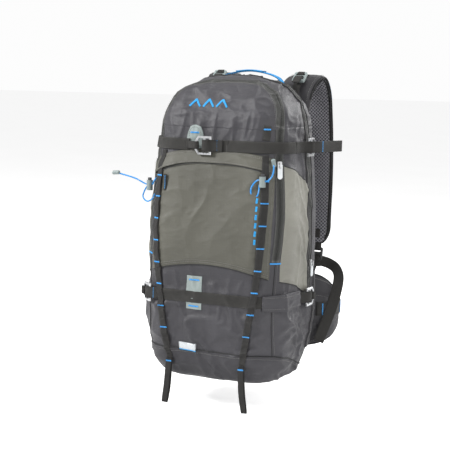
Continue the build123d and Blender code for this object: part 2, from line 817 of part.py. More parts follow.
with BuildPart() as axe_loop:
    # A folded webbing loop that hangs from the lower end of the daisy chain.
    with BuildSketch(Plane.YZ.offset(70 - CHAIN_WIDTH / 2)):
        with Locations((-101, -3)):
            SlotOverall(84, 7, rotation=90)
            SlotOverall(80.8, 3.8, rotation=90, mode=Mode.SUBTRACT)
    extrude(amount=CHAIN_WIDTH)
save(axe_loop.part, "axe_loop_right")
save(mirrored(axe_loop.part), "axe_loop_left")
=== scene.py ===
import math

import bpy
import numpy as np
from mathutils import Matrix, Vector
from mathutils.kdtree import KDTree


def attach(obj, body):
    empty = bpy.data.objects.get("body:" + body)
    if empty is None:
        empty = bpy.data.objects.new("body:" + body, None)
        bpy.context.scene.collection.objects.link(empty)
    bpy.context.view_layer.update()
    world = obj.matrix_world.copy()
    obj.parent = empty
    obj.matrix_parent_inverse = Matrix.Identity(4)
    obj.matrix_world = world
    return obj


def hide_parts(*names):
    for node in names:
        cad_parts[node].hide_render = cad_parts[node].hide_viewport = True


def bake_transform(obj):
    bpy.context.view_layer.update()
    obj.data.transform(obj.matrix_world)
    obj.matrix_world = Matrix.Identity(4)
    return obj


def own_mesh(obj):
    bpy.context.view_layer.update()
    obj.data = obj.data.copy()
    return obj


# Looks of a ski backpack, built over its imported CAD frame. Lengths here are in
# millimetres until a mesh is made. +Z is up, -Y is the outer front, +X the right.
# Cloth is placed by two numbers: s, the distance round the bag from the middle of its
# front (right is positive), and v, the distance up its side (v is the height up to 475).

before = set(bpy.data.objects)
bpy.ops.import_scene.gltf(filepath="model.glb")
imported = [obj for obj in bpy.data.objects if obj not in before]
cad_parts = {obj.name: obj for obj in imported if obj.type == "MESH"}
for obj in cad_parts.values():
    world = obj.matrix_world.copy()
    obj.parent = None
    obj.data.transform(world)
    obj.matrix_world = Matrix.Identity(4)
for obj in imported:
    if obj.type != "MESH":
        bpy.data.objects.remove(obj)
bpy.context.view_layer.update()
MM = 0.001
PI = math.pi
rng = np.random.default_rng(11)

# ------------------------------------------------------------------ bag surface
# v, level, half width, front, back, front corner radius, back corner radius
ROWS = np.array([
    (-74, 0.6, 22, -10, 12, 9, 8),
    (-38, 0.4, 60, -34, 36, 24, 18),
    (-6, 1.2, 89, -58, 56, 36, 24),
    (8, 8, 106, -75, 65, 44, 26),
    (24, 24, 117, -87, 71, 50, 28),
    (80, 80, 132, -100, 79, 60, 30),
    (200, 200, 136, -101, 80, 62, 30),
    (320, 320, 134, -93, 80, 60, 30),
    (420, 420, 127, -83, 78, 56, 30),
    (475, 475, 118, -70, 74, 50, 28),
    (515, 508, 99, -48, 66, 42, 28),
    (548, 526, 68, -17, 54, 32, 24),
    (572, 533, 42, 4, 42, 20, 16),
    (598, 535, 12, 18, 28, 5, 4),
], float)


def smooth(column, v):
    """A column of ROWS at any v, as a cubic through the rows."""
    x, y = ROWS[:, 0], ROWS[:, column]
    slope = np.gradient(y, x)
    i = np.clip(np.searchsorted(x, v) - 1, 0, len(x) - 2)
    h = x[i + 1] - x[i]
    t = (v - x[i]) / h
    a = (1 + 2 * t) * (1 - t) ** 2 * y[i] + t * (1 - t) ** 2 * h * slope[i]
    return a + t * t * (3 - 2 * t) * y[i + 1] + t * t * (t - 1) * h * slope[i + 1]


def lengths(v):
    """Distances round the outline at which its front corner, side, back corner and back start."""
    _, half, front, back, fr, br = (smooth(c, v) for c in range(1, 7))
    a = half - fr
    b = a + fr * PI / 2
    c = b + (back - br) - (front + fr)
    return a, b, c, c + br * PI / 2


def half_girth(v):
    return lengths(v)[3] + smooth(2, v) - smooth(6, v)


def form(s, v):
    """Points on the plain form, before the cloth swells and creases."""
    s, v = np.broadcast_arrays(np.asarray(s, float), np.asarray(v, float))
    level, half, front, back, fr, br = (smooth(c, v) for c in range(1, 7))
    a, b, c, d = lengths(v)
    side, s = np.where(s < 0, -1.0, 1.0), np.abs(s)
    turn = np.clip((s - a) / fr, 0, PI / 2)
    turn2 = np.clip((s - c) / br, 0, PI / 2)
    x = np.minimum(s, a) + fr * np.sin(turn) - br * (1 - np.cos(turn2)) - np.clip(s - d, 0, None)
    y = front + fr * (1 - np.cos(turn)) + np.clip(s - b, 0, c - b) + br * np.sin(turn2)
    return np.stack([side * x, y, level], -1)


def unit(a):
    return a / np.maximum(np.linalg.norm(a, axis=-1, keepdims=True), 1e-9)


def jacobian(s, v, e=0.6):
    return (form(s + e, v) - form(s - e, v)) / (2 * e), (form(s, v + e) - form(s, v - e)) / (2 * e)


def normals(s, v):
    ds, dv = jacobian(s, v, 3.0)
    return unit(np.cross(ds, dv))


NOISE = rng.random((256, 256))


def noise(x, y, seed=0):
    """Smooth value noise between 0 and 1."""
    x, y = 0.81 * x + 0.59 * y + 37.3 * seed, 0.81 * y - 0.59 * x + 91.7 * seed
    xi, yi = np.floor(x).astype(int), np.floor(y).astype(int)
    fx, fy = x - xi, y - yi
    fx, fy = fx * fx * (3 - 2 * fx), fy * fy * (3 - 2 * fy)
    xi, yi, xj, yj = xi % 256, yi % 256, (xi + 1) % 256, (yi + 1) % 256
    low = NOISE[xi, yi] * (1 - fx) + NOISE[xj, yi] * fx
    high = NOISE[xi, yj] * (1 - fx) + NOISE[xj, yj] * fx
    return low * (1 - fy) + high * fy


def ridge(x, y, seed, power=2.6):
    """Thin soft creases between 0 and 1."""
    return (1 - np.abs(2 * noise(x, y, seed) - 1)) ** power


def bump(x, low, high):
    """A smooth hill between two values."""
    t = np.clip((x - low) / (high - low), 0, 1)
    return np.sin(PI * t)


def step(x, low, high):
    t = np.clip((x - low) / (high - low), 0, 1)
    return t * t * (3 - 2 * t)


def s_of_x(x, v):
    """The distance round the front half at which the outline reaches x."""
    x, v = np.asarray(x, float), np.asarray(v, float)
    a, fr = lengths(v)[0], smooth(5, v)
    over = np.clip((np.abs(x) - a) / fr, 0, 1)
    return np.sign(x) * (np.minimum(np.abs(x), a) + fr * np.arcsin(over))


def s_of_y(y, v):
    """The distance round the right side at which the outline reaches y."""
    a, b, c, d = lengths(v)
    br, back = smooth(6, v), smooth(4, v)
    flat = b + (y - smooth(3, v) - smooth(5, v))
    over = np.clip((y - (back - br)) / br, 0, 1)
    return np.where(y > back - br, c + br * np.arcsin(over), flat)


# The front zip: an inverted U whose legs run down both front corners.
ZIP_LEG = [(119, 222), (121, 262), (121, 300), (118.5, 350), (116, 385), (113.5, 420), (111, 450)]
ARCH = [(0, 0), (-3, 20), (-10, 40), (-21, 57), (-34, 70), (-50, 81), (-70, 90), (-92, 95.5)]
ARCH_FOOT = float(s_of_x(111.0, 450.0))
ARCH_TOP = 547.0
zip_leg = np.array([(float(s_of_x(x, z)), z) for x, z in ZIP_LEG])
zip_arch = np.array([(ARCH_FOOT + ds, 450 + dv) for ds, dv in ARCH] + [(10, ARCH_TOP), (0, ARCH_TOP)])


def zip_s(v):
    return np.interp(v, zip_leg[:, 1], zip_leg[:, 0])


def swell(s, v):
    """How far the filled bag stands out from its plain form."""
    out = 3.4 * bump(v, 172, 398) + 3.0 * bump(v, 20, 138) + 3.0 * bump(v, 432, 575)
    a, b, c, d = lengths(v)
    out = out * (0.35 + 0.65 * bump(np.abs(s), -60, b + 20)) * (1 - 0.7 * step(np.abs(s), c - 20, d))
    return out - 1.2 * np.exp(-((np.abs(s) - zip_s(v)) / 7.0) ** 2) * bump(v, 200, 470)


def creases(s, v):
    """Soft folds: level ones near the straps and base, upright ones on the sides."""
    warp = 1.6 * noise(s / 46, v / 50, 3)
    level = ridge(s / 62 + warp, v / 21 + 0.7 * warp, 1) - 0.3
    slanted = ridge(s / 30 + v / 58 + warp, v / 84 - s / 160, 2) - 0.3
    small = ridge(s / 17 + warp, v / 12, 5, 2.0) - 0.3
    dome = step(v, 430, 480)
    low = 1 - step(v, 120, 200)
    side = step(np.abs(s), 118, 160) * (1 - dome)
    back = step(np.abs(s), 225, 255)
    out = 2.6 * level * (0.25 + 0.7 * dome + 1.0 * low) + 2.8 * slanted * (0.25 + 0.7 * side + 0.5 * low + 0.4 * dome)
    gathers = ridge(s / 16 + 0.6 * warp, v / 70, 9) - 0.25
    out = out + gathers * (2.3 * bump(v, 416, 486) + 1.8 * bump(v, 112, 148) + 1.6 * bump(v, 156, 196))
    pocket = ridge(s / 44 - v / 62 + 0.5 * warp, v / 95 + s / 80, 12, 2.2) - 0.35
    out = out + 2.4 * pocket * bump(v, 190, 396) * (1 - step(np.abs(s), 108, 126))
    out = out + 1.0 * small * (0.5 + 0.6 * low + 0.5 * side + 0.3 * dome)
    calm = 1 - 0.75 * np.exp(-((np.abs(s) - zip_s(v)) / 9.0) ** 2)
    seam = 1 - step(np.abs(s) / half_girth(v), 0.78, 0.95)
    return 1.25 * out * calm * (1 - 0.75 * back) * seam * step(v, -20, 20)


def on_bag(s, v, lift=0.0):
    """Points on the finished cloth, lifted outwards."""
    s, v = np.broadcast_arrays(np.asarray(s, float), np.asarray(v, float))
    out = swell(s, v) + creases(s, v) + lift
    return form(s, v) + normals(s, v) * out[..., None]


def build_lookup():
    v = np.repeat(np.linspace(-60, 597, 220), 300)
    share = np.tile(np.linspace(-1, 1, 300), 220)
    grid = np.stack([share * half_girth(v), v], -1)
    points = form(grid[:, 0], grid[:, 1])
    tree = KDTree(len(points))
    for i, p in enumerate(points):
        tree.insert(p, i)
    tree.balance()
    return tree, grid


lookup = build_lookup()


def locate(points):
    """The (s, v) of points in space, by the nearest spot on the plain form."""
    tree, grid = lookup
    found = np.array([grid[tree.find(p)[1]] for p in np.asarray(points, float)])
    for _ in range(3):
        ds, dv = jacobian(found[:, 0], found[:, 1])
        gap = np.asarray(points, float) - form(found[:, 0], found[:, 1])
        found = found + solve(ds, dv, gap)
    return found


def solve(ds, dv, move):
    """The change of (s, v) that makes a small move along the surface."""
    a, b, c = (ds * ds).sum(-1), (ds * dv).sum(-1), (dv * dv).sum(-1)
    p, q = (ds * move).sum(-1), (dv * move).sum(-1)
    det = np.maximum(a * c - b * b, 1e-6)
    return np.stack([(c * p - b * q) / det, (a * q - b * p) / det], -1)


# ------------------------------------------------------------- curves and frames
def curve(points, gap=3.0, closed=False):
    """A Catmull-Rom curve through points of any dimension, evenly spaced."""
    p = np.asarray(points, float)
    if closed:
        p = np.vstack([p[-1], p, p[0], p[1]])
    else:
        p = np.vstack([2 * p[0] - p[1], p, 2 * p[-1] - p[-2]])
    t = np.linspace(0, 1, 24, endpoint=False)[:, None]
    parts = []
    for a, b, c, d in zip(p, p[1:], p[2:], p[3:]):
        parts.append(0.5 * (2 * b + (c - a) * t + (2 * a - 5 * b + 4 * c - d) * t ** 2
                            + (3 * b - a - 3 * c + d) * t ** 3))
    dense = np.vstack(parts + [p[-2][None]])
    return even(dense, gap)


def even(dense, gap):
    """Evenly spaced points along a polyline."""
    run = np.concatenate([[0], np.cumsum(np.linalg.norm(np.diff(dense, axis=0), axis=1))])
    count = max(2, int(round(run[-1] / gap)) + 1)
    at = np.linspace(0, run[-1], count)
    return np.stack([np.interp(at, run, dense[:, k]) for k in range(dense.shape[1])], -1)


def run_of(points):
    return np.concatenate([[0], np.cumsum(np.linalg.norm(np.diff(points, axis=0), axis=1))])


def tangents(points):
    return unit(np.gradient(points, axis=0))


# ---------------------------------------------------------------------- meshes
def make_mesh(name, points, faces, uv=None):
    data = bpy.data.meshes.new(name)
    data.from_pydata((np.asarray(points, float).reshape(-1, 3) * MM).tolist(), [], faces)
    if uv is not None:
        layer = data.uv_layers.new(name="UVMap")
        loops = np.empty(len(data.loops), int)
        data.loops.foreach_get("vertex_index", loops)
        layer.data.foreach_set("uv", (np.asarray(uv, float).reshape(-1, 2) * MM)[loops].ravel())
    data.polygons.foreach_set("use_smooth", [True] * len(data.polygons))
    data.update()
    obj = bpy.data.objects.new(name, data)
    bpy.context.scene.collection.objects.link(obj)
    return obj


def dress(obj, material, body):
    """Gives a piece its material and its body. A piece given (a, b, start, end) in place of a body only has its
    transform baked into its mesh.
    """
    obj.data.materials.append(material)
    if isinstance(body, str):
        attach(obj, body)
    else:
        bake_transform(obj)
    return obj


def grid_faces(rows, cols, close_rows=False, close_cols=False):
    faces = []
    for i in range(rows if close_rows else rows - 1):
        for j in range(cols if close_cols else cols - 1):
            a, b = i * cols + j, i * cols + (j + 1) % cols
            c, d = ((i + 1) % rows) * cols + (j + 1) % cols, ((i + 1) % rows) * cols + j
            faces.append((a, b, c, d))
    return faces


def grid(name, points, uv, material, body, slot, **close):
    rows, cols = points.shape[:2]
    return dress(make_mesh(name, points, grid_faces(rows, cols, **close), uv), material, body)


def thicken(obj, depth, outward=-1.0):
    """Cloth with an inner face as well."""
    solid = obj.modifiers.new("thickness", "SOLIDIFY")
    solid.thickness = depth * MM
    solid.offset = outward
    return obj


def section_loop(width, depth, corner=0.45):
    """A flat rounded cross-section, as (across, out) pairs."""
    w, d = width / 2, depth / 2
    half = [(-w, 0), (-w + d * corner, d * 0.8), (-w + d * 1.6, d), (-w * 0.5, d), (0, d),
            (w * 0.5, d), (w - d * 1.6, d), (w - d * corner, d * 0.8), (w, 0)]
    return np.array(half + [(a, -b) for a, b in reversed(half[1:-1])])


def sweep(name, points, across, loop, material, body, wave=None):
    """A closed cross-section carried along a path, its ends closed with flat caps."""
    points = np.asarray(points, float)
    heading = tangents(points)
    across = np.broadcast_to(np.asarray(across, float), points.shape)
    across = unit(across - heading * (across * heading).sum(-1, keepdims=True))
    out = np.cross(across, heading)
    run = run_of(points)
    rings = points[:, None] + across[:, None] * loop[None, :, :1] + out[:, None] * loop[None, :, 1:]
    if wave is not None:
        rings = rings + out[:, None] * wave(run)[:, None, None]
    uv = np.stack([np.repeat(run[:, None], len(loop), 1), np.repeat(loop[None, :, 0], len(points), 0)], -1)
    count = len(loop)
    faces = [tuple(reversed(f)) for f in grid_faces(len(points), count, close_cols=True)]
    verts = rings.reshape(-1, 3)
    faces += [tuple(range(count)), tuple(reversed(range(len(verts) - count, len(verts))))]
    return dress(make_mesh(name, verts, faces, uv), material, body)


def ribbon(name, points, across, width, depth, material, body, gap=2.5, spline=True):
    """Free webbing along a path in space."""
    path = curve(points, gap) if spline else np.asarray(points, float)
    return sweep(name, path, across, section_loop(width, depth), material, body)


def tube(name, points, radius, material, body, sides=10, gap=2.0, closed=False, spline=True):
    """A round cord along a path, with frames carried forward so that it doesn't twist."""
    path = curve(points, gap, closed) if spline else np.asarray(points, float)
    heading = tangents(path)
    side = [unit(np.cross(heading[0], (0.3, 0.5, 0.8)))]
    for h in heading[1:]:
        side.append(unit(side[-1] - h * float((side[-1] * h).sum())))
    side = np.array(side)
    up = np.cross(heading, side)
    turn = np.linspace(0, 2 * PI, sides, endpoint=False)
    ring = np.cos(turn)[None, :, None] * side[:, None] + np.sin(turn)[None, :, None] * up[:, None]
    size = np.full(len(path), radius)
    if not closed:
        size[[0, -1]] = radius * 0.55
    rings = path[:, None] + ring * size[:, None, None]
    run = run_of(path)
    uv = np.stack([np.repeat(run[:, None], sides, 1),
                   np.repeat((turn * radius)[None], len(path), 0)], -1)
    faces = [tuple(reversed(f)) for f in grid_faces(len(path), sides, close_cols=True)]
    last = len(path) * sides
    faces += [tuple(range(sides)), tuple(reversed(range(last - sides, last)))]
    return dress(make_mesh(name, rings, faces, uv), material, body)


def stitches(name, points, out, material, body, slot, length=2.3, pitch=3.4, radius=0.32, turn=False):
    """Thread stitches laid along a path, or across it if turned. out points away from the cloth."""
    points, out = np.asarray(points, float), np.asarray(out, float)
    run = run_of(points)
    at = np.arange(pitch / 2, run[-1], pitch)

    def along(values):
        values = np.broadcast_to(values, points.shape)
        return np.stack([np.interp(at, run, values[:, k]) for k in range(3)], -1)

    centre, heading, out = along(points), unit(along(tangents(points))), unit(along(out))
    if turn:
        heading = np.cross(heading, out)
    across = np.cross(heading, out)
    rows = [(-0.5, 0.35), (-0.3, 0.95), (0.3, 0.95), (0.5, 0.35)]
    shape = [(t, r * c, r * d) for t, r in rows for c, d in ((1, 0), (0, 1), (-1, 0), (0, -1))]
    shape = np.array(shape)
    verts = (centre[:, None] + heading[:, None] * shape[None, :, :1] * length
             + across[:, None] * shape[None, :, 1:2] * radius + out[:, None] * shape[None, :, 2:] * radius)
    one = [(4 * k + m, 4 * k + (m + 1) % 4, 4 * k + 4 + (m + 1) % 4, 4 * k + 4 + m)
           for k in range(3) for m in range(4)] + [(3, 2, 1, 0), (12, 13, 14, 15)]
    faces = [tuple(16 * i + k for k in f) for i in range(len(centre)) for f in one]
    return dress(make_mesh(name, verts, faces), material, body)


# ------------------------------------------------------------- cloth on the bag
def pocket_edge(s):
    """The bottom and top of the front pocket at a distance round the front."""
    t = np.clip(np.abs(s) / 125, 0, 1) ** 2
    return 210 - 22 * t, 400 - 26 * t


def pocket_height(s, v):
    """How far the front pocket stands out over the bag."""
    low, high = pocket_edge(s)
    wide = s_of_x(112.0, v) - 1.0
    inside = np.minimum(np.minimum(v - low, high + 6 - v), wide - np.abs(s))
    rim = step(inside, -0.6, 1.4) * 1.1
    full = np.clip(inside / 46, 0, 1)
    return rim + 5.0 * (1 - (1 - full) ** 2.2) * (0.65 + 0.35 * bump(v, 190, 400))


def layer(s, v, lift):
    """Points over the pocket as well as the bag."""
    return on_bag(s, v, pocket_height(s, v) + lift)


def beside(path, offset, place=on_bag):
    """The (s, v) of points offset sideways from a path of (s, v). Positive is to its right."""
    s, v = path[:, 0], path[:, 1]
    ds, dv = jacobian(s, v)
    points = form(s, v)
    heading = tangents(points)
    right = np.cross(heading, normals(s, v))
    return path + solve(ds, dv, right * np.broadcast_to(offset, s.shape)[:, None])


def strip(name, path, width, top, material, body, slot, base=on_bag, left=None, right=None,
          floor=-1.2, gap=2.5, raised=None, crown=0.0, spline=True):
    """A flat band sewn to the bag along a path of (s, v)."""
    path = curve(path, gap) if spline else np.asarray(path, float)
    left = -width / 2 if left is None else left
    right = width / 2 if right is None else right
    half = (right - left) / 2
    across = np.array([-1, -1, -0.97, -0.86, -0.5, 0, 0.5, 0.86, 0.97, 1, 1]) * half + (left + right) / 2
    rise = np.array([floor, top * 0.55, top * 0.9, top, top, top, top, top, top * 0.9, top * 0.55, floor])
    rise = rise + crown * np.array([0, 0, 0.1, 0.4, 0.85, 1, 0.85, 0.4, 0.1, 0, 0])
    path = np.vstack([path[0], path, path[-1]])
    run = run_of(form(path[:, 0], path[:, 1]))
    columns = []
    for offset, lift in zip(across, rise):
        where = beside_ends(path, offset)
        lifts = np.full(len(path), lift)
        if raised is not None and lift > floor:
            lifts = lifts + raised(run)
        lifts[[0, -1]] = floor
        columns.append(base(where[:, 0], where[:, 1], lifts))
    points = np.stack(columns, 1)
    uv = np.stack([np.repeat(run[:, None], len(across), 1), np.repeat(across[None], len(path), 0)], -1)
    return grid(name, points, uv, material, body, slot)


def beside_ends(path, offset):
    """beside(), for a path whose first and last points are doubled."""
    inner = beside(path[1:-1], offset)
    return np.vstack([inner[0], inner, inner[-1]])


def coons(bottom, right, top, left, cols, rows):
    """(s, v) over a four-sided region. Edges run left to right and bottom to top."""
    def sample(edge, count):
        p = curve(edge, 1.0)
        t = np.linspace(0, 1, len(p))
        at = spread(count)
        return np.stack([np.interp(at, t, p[:, k]) for k in range(2)], -1)
    b, t = sample(bottom, cols), sample(top, cols)
    l, r = sample(left, rows), sample(right, rows)
    x, y = spread(cols)[None, :, None], spread(rows)[:, None, None]
    flat = ((1 - x) * (1 - y) * b[0] + x * (1 - y) * b[-1] + (1 - x) * y * t[0] + x * y * t[-1])
    return (1 - y) * b[None] + y * t[None] + (1 - x) * l[:, None] + x * r[:, None] - flat


def spread(count):
    """Shares from 0 to 1 with extra ones close to both ends, for a rolled edge."""
    edge = np.array([0.0, 0.004, 0.009, 0.016])
    return np.concatenate([edge, np.linspace(0.03, 0.97, count - 8), 1 - edge[::-1]])


def rolled(rows, cols, top, floor=-0.8):
    """Lifts for a panel whose edges turn down to the cloth under them."""
    def profile(count):
        p = np.ones(count)
        p[[0, -1]] = 0
        p[[1, -2]] = 0.62
        p[[2, -3]] = 0.9
        return p
    rim = np.minimum(profile(rows)[:, None], profile(cols)[None])
    return floor + (top - floor) * rim


def panel(name, edges, cols, rows, top, material, body, slot, base=on_bag, extra=None):
    """A sewn panel over a four-sided region of the bag."""
    sv = coons(*edges, cols, rows)
    lift = rolled(rows, cols, top)
    if extra is not None:
        lift = lift + extra(sv[..., 0], sv[..., 1])
    return grid(name, base(sv[..., 0], sv[..., 1], lift), sv, material, body, slot)


def seam(name, path, body="pack", offset=0.0, lift=1.0, base=on_bag, material=None, slot="bartack", **thread):
    """A row of stitches beside a path of (s, v)."""
    path = curve(path, 2.0)
    if offset:
        path = beside(path, offset)
    points = base(path[:, 0], path[:, 1], lift)
    return stitches(name, points, normals(path[:, 0], path[:, 1]), material or LOOK["thread"], body, slot, **thread)


def piping(name, path, radius, body="pack", lift=0.6, base=on_bag, material=None):
    """A thin covered cord along a path of (s, v)."""
    path = curve(path, 2.5)
    points = base(path[:, 0], path[:, 1], lift)
    return tube(name, points, radius, material or LOOK["piping"], body, sides=8, spline=False)


def xz(points):
    """(s, v) of points given as x and height on the front."""
    return np.array([(float(s_of_x(x, z)), z) for x, z in points])


def mirror_path(path):
    return np.asarray(path) * (-1, 1)


# ------------------------------------------------------------------- materials
def linear(text):
    """A linear colour from a hex colour."""
    parts = [int(text[i:i + 2], 16) / 255 for i in (1, 3, 5)]
    return [((c + 0.055) / 1.055) ** 2.4 if c > 0.04045 else c / 12.92 for c in parts] + [1.0]


class Shader:
    """A node material, with short calls for its nodes."""

    def __init__(self, name):
        self.material = bpy.data.materials.new(name)
        self.material.use_nodes = True
        self.tree = self.material.node_tree
        self.bsdf = self.tree.nodes["Principled BSDF"]

    def add(self, kind, **values):
        made = self.tree.nodes.new(kind)
        for key, value in values.items():
            socket = made.inputs.get(key.replace("_", " "))
            if socket is None:
                setattr(made, key, value)
            else:
                self.feed(socket, value)
        return made

    def feed(self, socket, value):
        if isinstance(value, bpy.types.NodeSocket):
            self.tree.links.new(value, socket)
        else:
            socket.default_value = value

    def set(self, name, value):
        self.feed(self.bsdf.inputs[name], value)

    def maths(self, operation, a, b=0.0):
        made = self.add("ShaderNodeMath", operation=operation)
        self.feed(made.inputs[0], a)
        self.feed(made.inputs[1], b)
        return made.outputs[0]

    def coordinates(self):
        """Cloth coordinates in millimetres: along, across."""
        place = self.add("ShaderNodeTexCoord")
        parts = self.add("ShaderNodeSeparateXYZ", Vector=place.outputs["UV"])
        return (self.maths("MULTIPLY", parts.outputs[0], 1000.0), self.maths("MULTIPLY", parts.outputs[1], 1000.0))

    def wave(self, value, period):
        return self.maths("SINE", self.maths("MULTIPLY", value, 2 * PI / period))

    def cloud(self, scale, detail=3.0, stretch=None):
        place = self.add("ShaderNodeTexCoord").outputs["Object"]
        if stretch is not None:
            place = self.add("ShaderNodeMapping", Vector=place, Scale=stretch).outputs[0]
        return self.add("ShaderNodeTexNoise", Vector=place, Scale=scale, Detail=detail).outputs["Fac"]

    def between(self, value, low, high, a=0.0, b=1.0):
        made = self.add("ShaderNodeMapRange", Value=value)
        for socket, number in zip(list(made.inputs)[1:5], (low, high, a, b)):
            socket.default_value = number
        return made.outputs[0]

    def mix(self, share, a, b, blend="MIX"):
        made = self.add("ShaderNodeMix", data_type="RGBA", blend_type=blend)
        self.feed(made.inputs[0], share)
        self.feed(made.inputs[6], a)
        self.feed(made.inputs[7], b)
        return made.outputs[2]

    def rub_wear_and_hollow_shade(self, color, amount=0.25, tint=(0.55, 0.55, 0.54, 1)):
        """Edges and creases a little lighter where they rub, and painted shade that darkens the hollows."""
        edge = self.add("ShaderNodeNewGeometry").outputs["Pointiness"]
        color = self.mix(self.maths("MULTIPLY", self.between(edge, 0.505, 0.56), amount), color, tint)
        # painted shade: where the surface is hollow (low pointiness) the colour is mixed up to a third of the way to
        # black
        return self.mix(self.between(edge, 0.49, 0.44, 0.0, 0.35), color, (0.01, 0.01, 0.01, 1))

    def bumps(self, *layers):
        """Bump from (height, strength, distance in mm), the broadest first."""
        normal = None
        for height, strength, distance in layers:
            made = self.add("ShaderNodeBump", Strength=strength, Distance=distance * MM, Height=height)
            if normal is not None:
                self.feed(made.inputs["Normal"], normal)
            normal = made.outputs[0]
        self.set("Normal", normal)


def pack_cloth(name, color, rough=0.62, sheen=0.04, ripstop=5.2, weave=0.85, fade=0.12):
    """Coated pack cloth: a fine weave with a ripstop grid, mottled and rubbed at its folds, with painted shade
    darkening its hollows.
    """
    m = Shader(name)
    along, across = m.coordinates()
    threads = m.maths("MULTIPLY", m.wave(along, weave), m.wave(across, weave))
    grid_x = m.between(m.wave(along, ripstop), 0.93, 1.0)
    grid_y = m.between(m.wave(across, ripstop), 0.93, 1.0)
    grid_lines = m.maths("MAXIMUM", grid_x, grid_y)
    base = linear(color)
    dark = [c * 0.78 for c in base[:3]] + [1]
    light = [min(1, c * 1.25 + fade * 0.02) for c in base[:3]] + [1]
    tone = m.mix(m.between(m.cloud(7, 4), 0.3, 0.7), dark, light)
    tone = m.mix(m.between(m.cloud(420, 2), 0.35, 0.65, 0.0, 0.35), tone, base)
    tone = m.mix(m.maths("MULTIPLY", grid_lines, 0.22), tone, light)
    tone = m.mix(m.between(threads, -1, 1, 0.0, 0.16), tone, dark)
    m.set("Base Color", m.rub_wear_and_hollow_shade(tone, 0.18, [min(1, c * 1.9 + 0.02) for c in base[:3]] + [1]))
    m.set("Roughness", m.between(m.cloud(30, 3), 0.2, 0.8, rough - 0.08, rough + 0.10))
    m.set("Sheen Weight", sheen)
    m.set("Sheen Roughness", 0.5)
    m.set("Specular IOR Level", 0.36)
    m.bumps((m.cloud(55, 4), 0.25, 0.8), (m.cloud(16, 3), 0.25, 2.0), (grid_lines, 0.5, 0.12), (threads, 0.5, 0.10))
    return m.material


def webbing_look(name, color, rib=1.3, chevron=2.6, rough=0.7):
    """Woven webbing: ribs along it and a herringbone across it."""
    m = Shader(name)
    along, across = m.coordinates()
    ribs = m.wave(across, rib)
    herring = m.wave(m.maths("ADD", along, m.maths("ABSOLUTE", across)), chevron)
    cloth = m.maths("ADD", m.maths("MULTIPLY", ribs, 0.5), m.maths("MULTIPLY", herring, 0.5))
    base = linear(color)
    dark = [c * 0.55 for c in base[:3]] + [1]
    light = [min(1, c * 1.5 + 0.006) for c in base[:3]] + [1]
    tone = m.mix(m.between(cloth, -0.8, 0.8), dark, light)
    tone = m.mix(m.between(m.cloud(24, 4), 0.3, 0.75, 0.0, 0.4), tone, base)
    # paler rubbed edges, and painted shade darkening the hollows
    m.set("Base Color", m.rub_wear_and_hollow_shade(tone, 0.2, [min(1, c * 2.2 + 0.03) for c in base[:3]] + [1]))
    m.set("Roughness", m.between(m.cloud(60, 2), 0.2, 0.8, rough - 0.07, rough + 0.08))
    m.set("Sheen Weight", 0.04)
    m.set("Specular IOR Level", 0.25)
    m.bumps((m.cloud(90, 3), 0.2, 0.5), (cloth, 0.8, 0.35))
    return m.material


def mesh_look(name, color, hole, pitch=4.4):
    """Open diamond mesh over dark foam."""
    m = Shader(name)
    along, across = m.coordinates()
    a = m.wave(m.maths("ADD", along, across), pitch * 1.6)
    b = m.wave(m.maths("SUBTRACT", along, across), pitch * 1.6)
    cells = m.maths("ABSOLUTE", m.maths("MULTIPLY", a, b))
    open_part = m.between(cells, 0.22, 0.42)
    fine = m.maths("MULTIPLY", m.wave(along, 0.9), m.wave(across, 0.9))
    thread = m.mix(m.between(fine, -1, 1, 0.0, 0.35), linear(color), [c * 0.6 for c in linear(color)[:3]] + [1])
    thread = m.mix(m.between(m.cloud(12, 4), 0.35, 0.7, 0.0, 0.3), thread, linear(hole))
    m.set("Base Color", m.mix(open_part, thread, linear(hole)))
    m.set("Roughness", m.between(open_part, 0, 1, 0.75, 0.95))
    m.set("Sheen Weight", 0.2)
    m.bumps((m.cloud(40, 3), 0.2, 1.0), (m.between(cells, 0.15, 0.5, 1.0, 0.0), 1.0, 0.8), (fine, 0.4, 0.15))
    return m.material


def zip_tape_look(name, color):
    m = Shader(name)
    along, across = m.coordinates()
    weave = m.maths("MULTIPLY", m.wave(along, 1.1), m.wave(m.maths("ADD", across, along), 1.6))
    base = linear(color)
    tone = m.mix(m.between(weave, -1, 1), [c * 0.7 for c in base[:3]] + [1], [c * 1.25 for c in base[:3]] + [1])
    tone = m.mix(m.between(m.cloud(20, 3), 0.3, 0.7, 0.0, 0.3), tone, base)
    # paler rubbed edges, and painted shade darkening the hollows
    m.set("Base Color", m.rub_wear_and_hollow_shade(tone, 0.15))
    m.set("Roughness", m.between(m.cloud(80, 2), 0.2, 0.8, 0.45, 0.62))
    m.bumps((m.cloud(60, 3), 0.15, 0.5), (weave, 0.6, 0.2))
    return m.material


def thread_look(name, color, rough=0.5):
    m = Shader(name)
    base = linear(color)
    twist = m.cloud(900, 2)
    m.set("Base Color", m.mix(m.between(twist, 0.3, 0.7), [c * 0.65 for c in base[:3]] + [1], [min(1, c * 1.3) for c in base[:3]] + [1]))
    m.set("Roughness", m.between(m.cloud(300, 2), 0.2, 0.8, rough - 0.1, rough + 0.1))
    m.set("Sheen Weight", 0.2)
    m.bumps((twist, 0.6, 0.15))
    return m.material


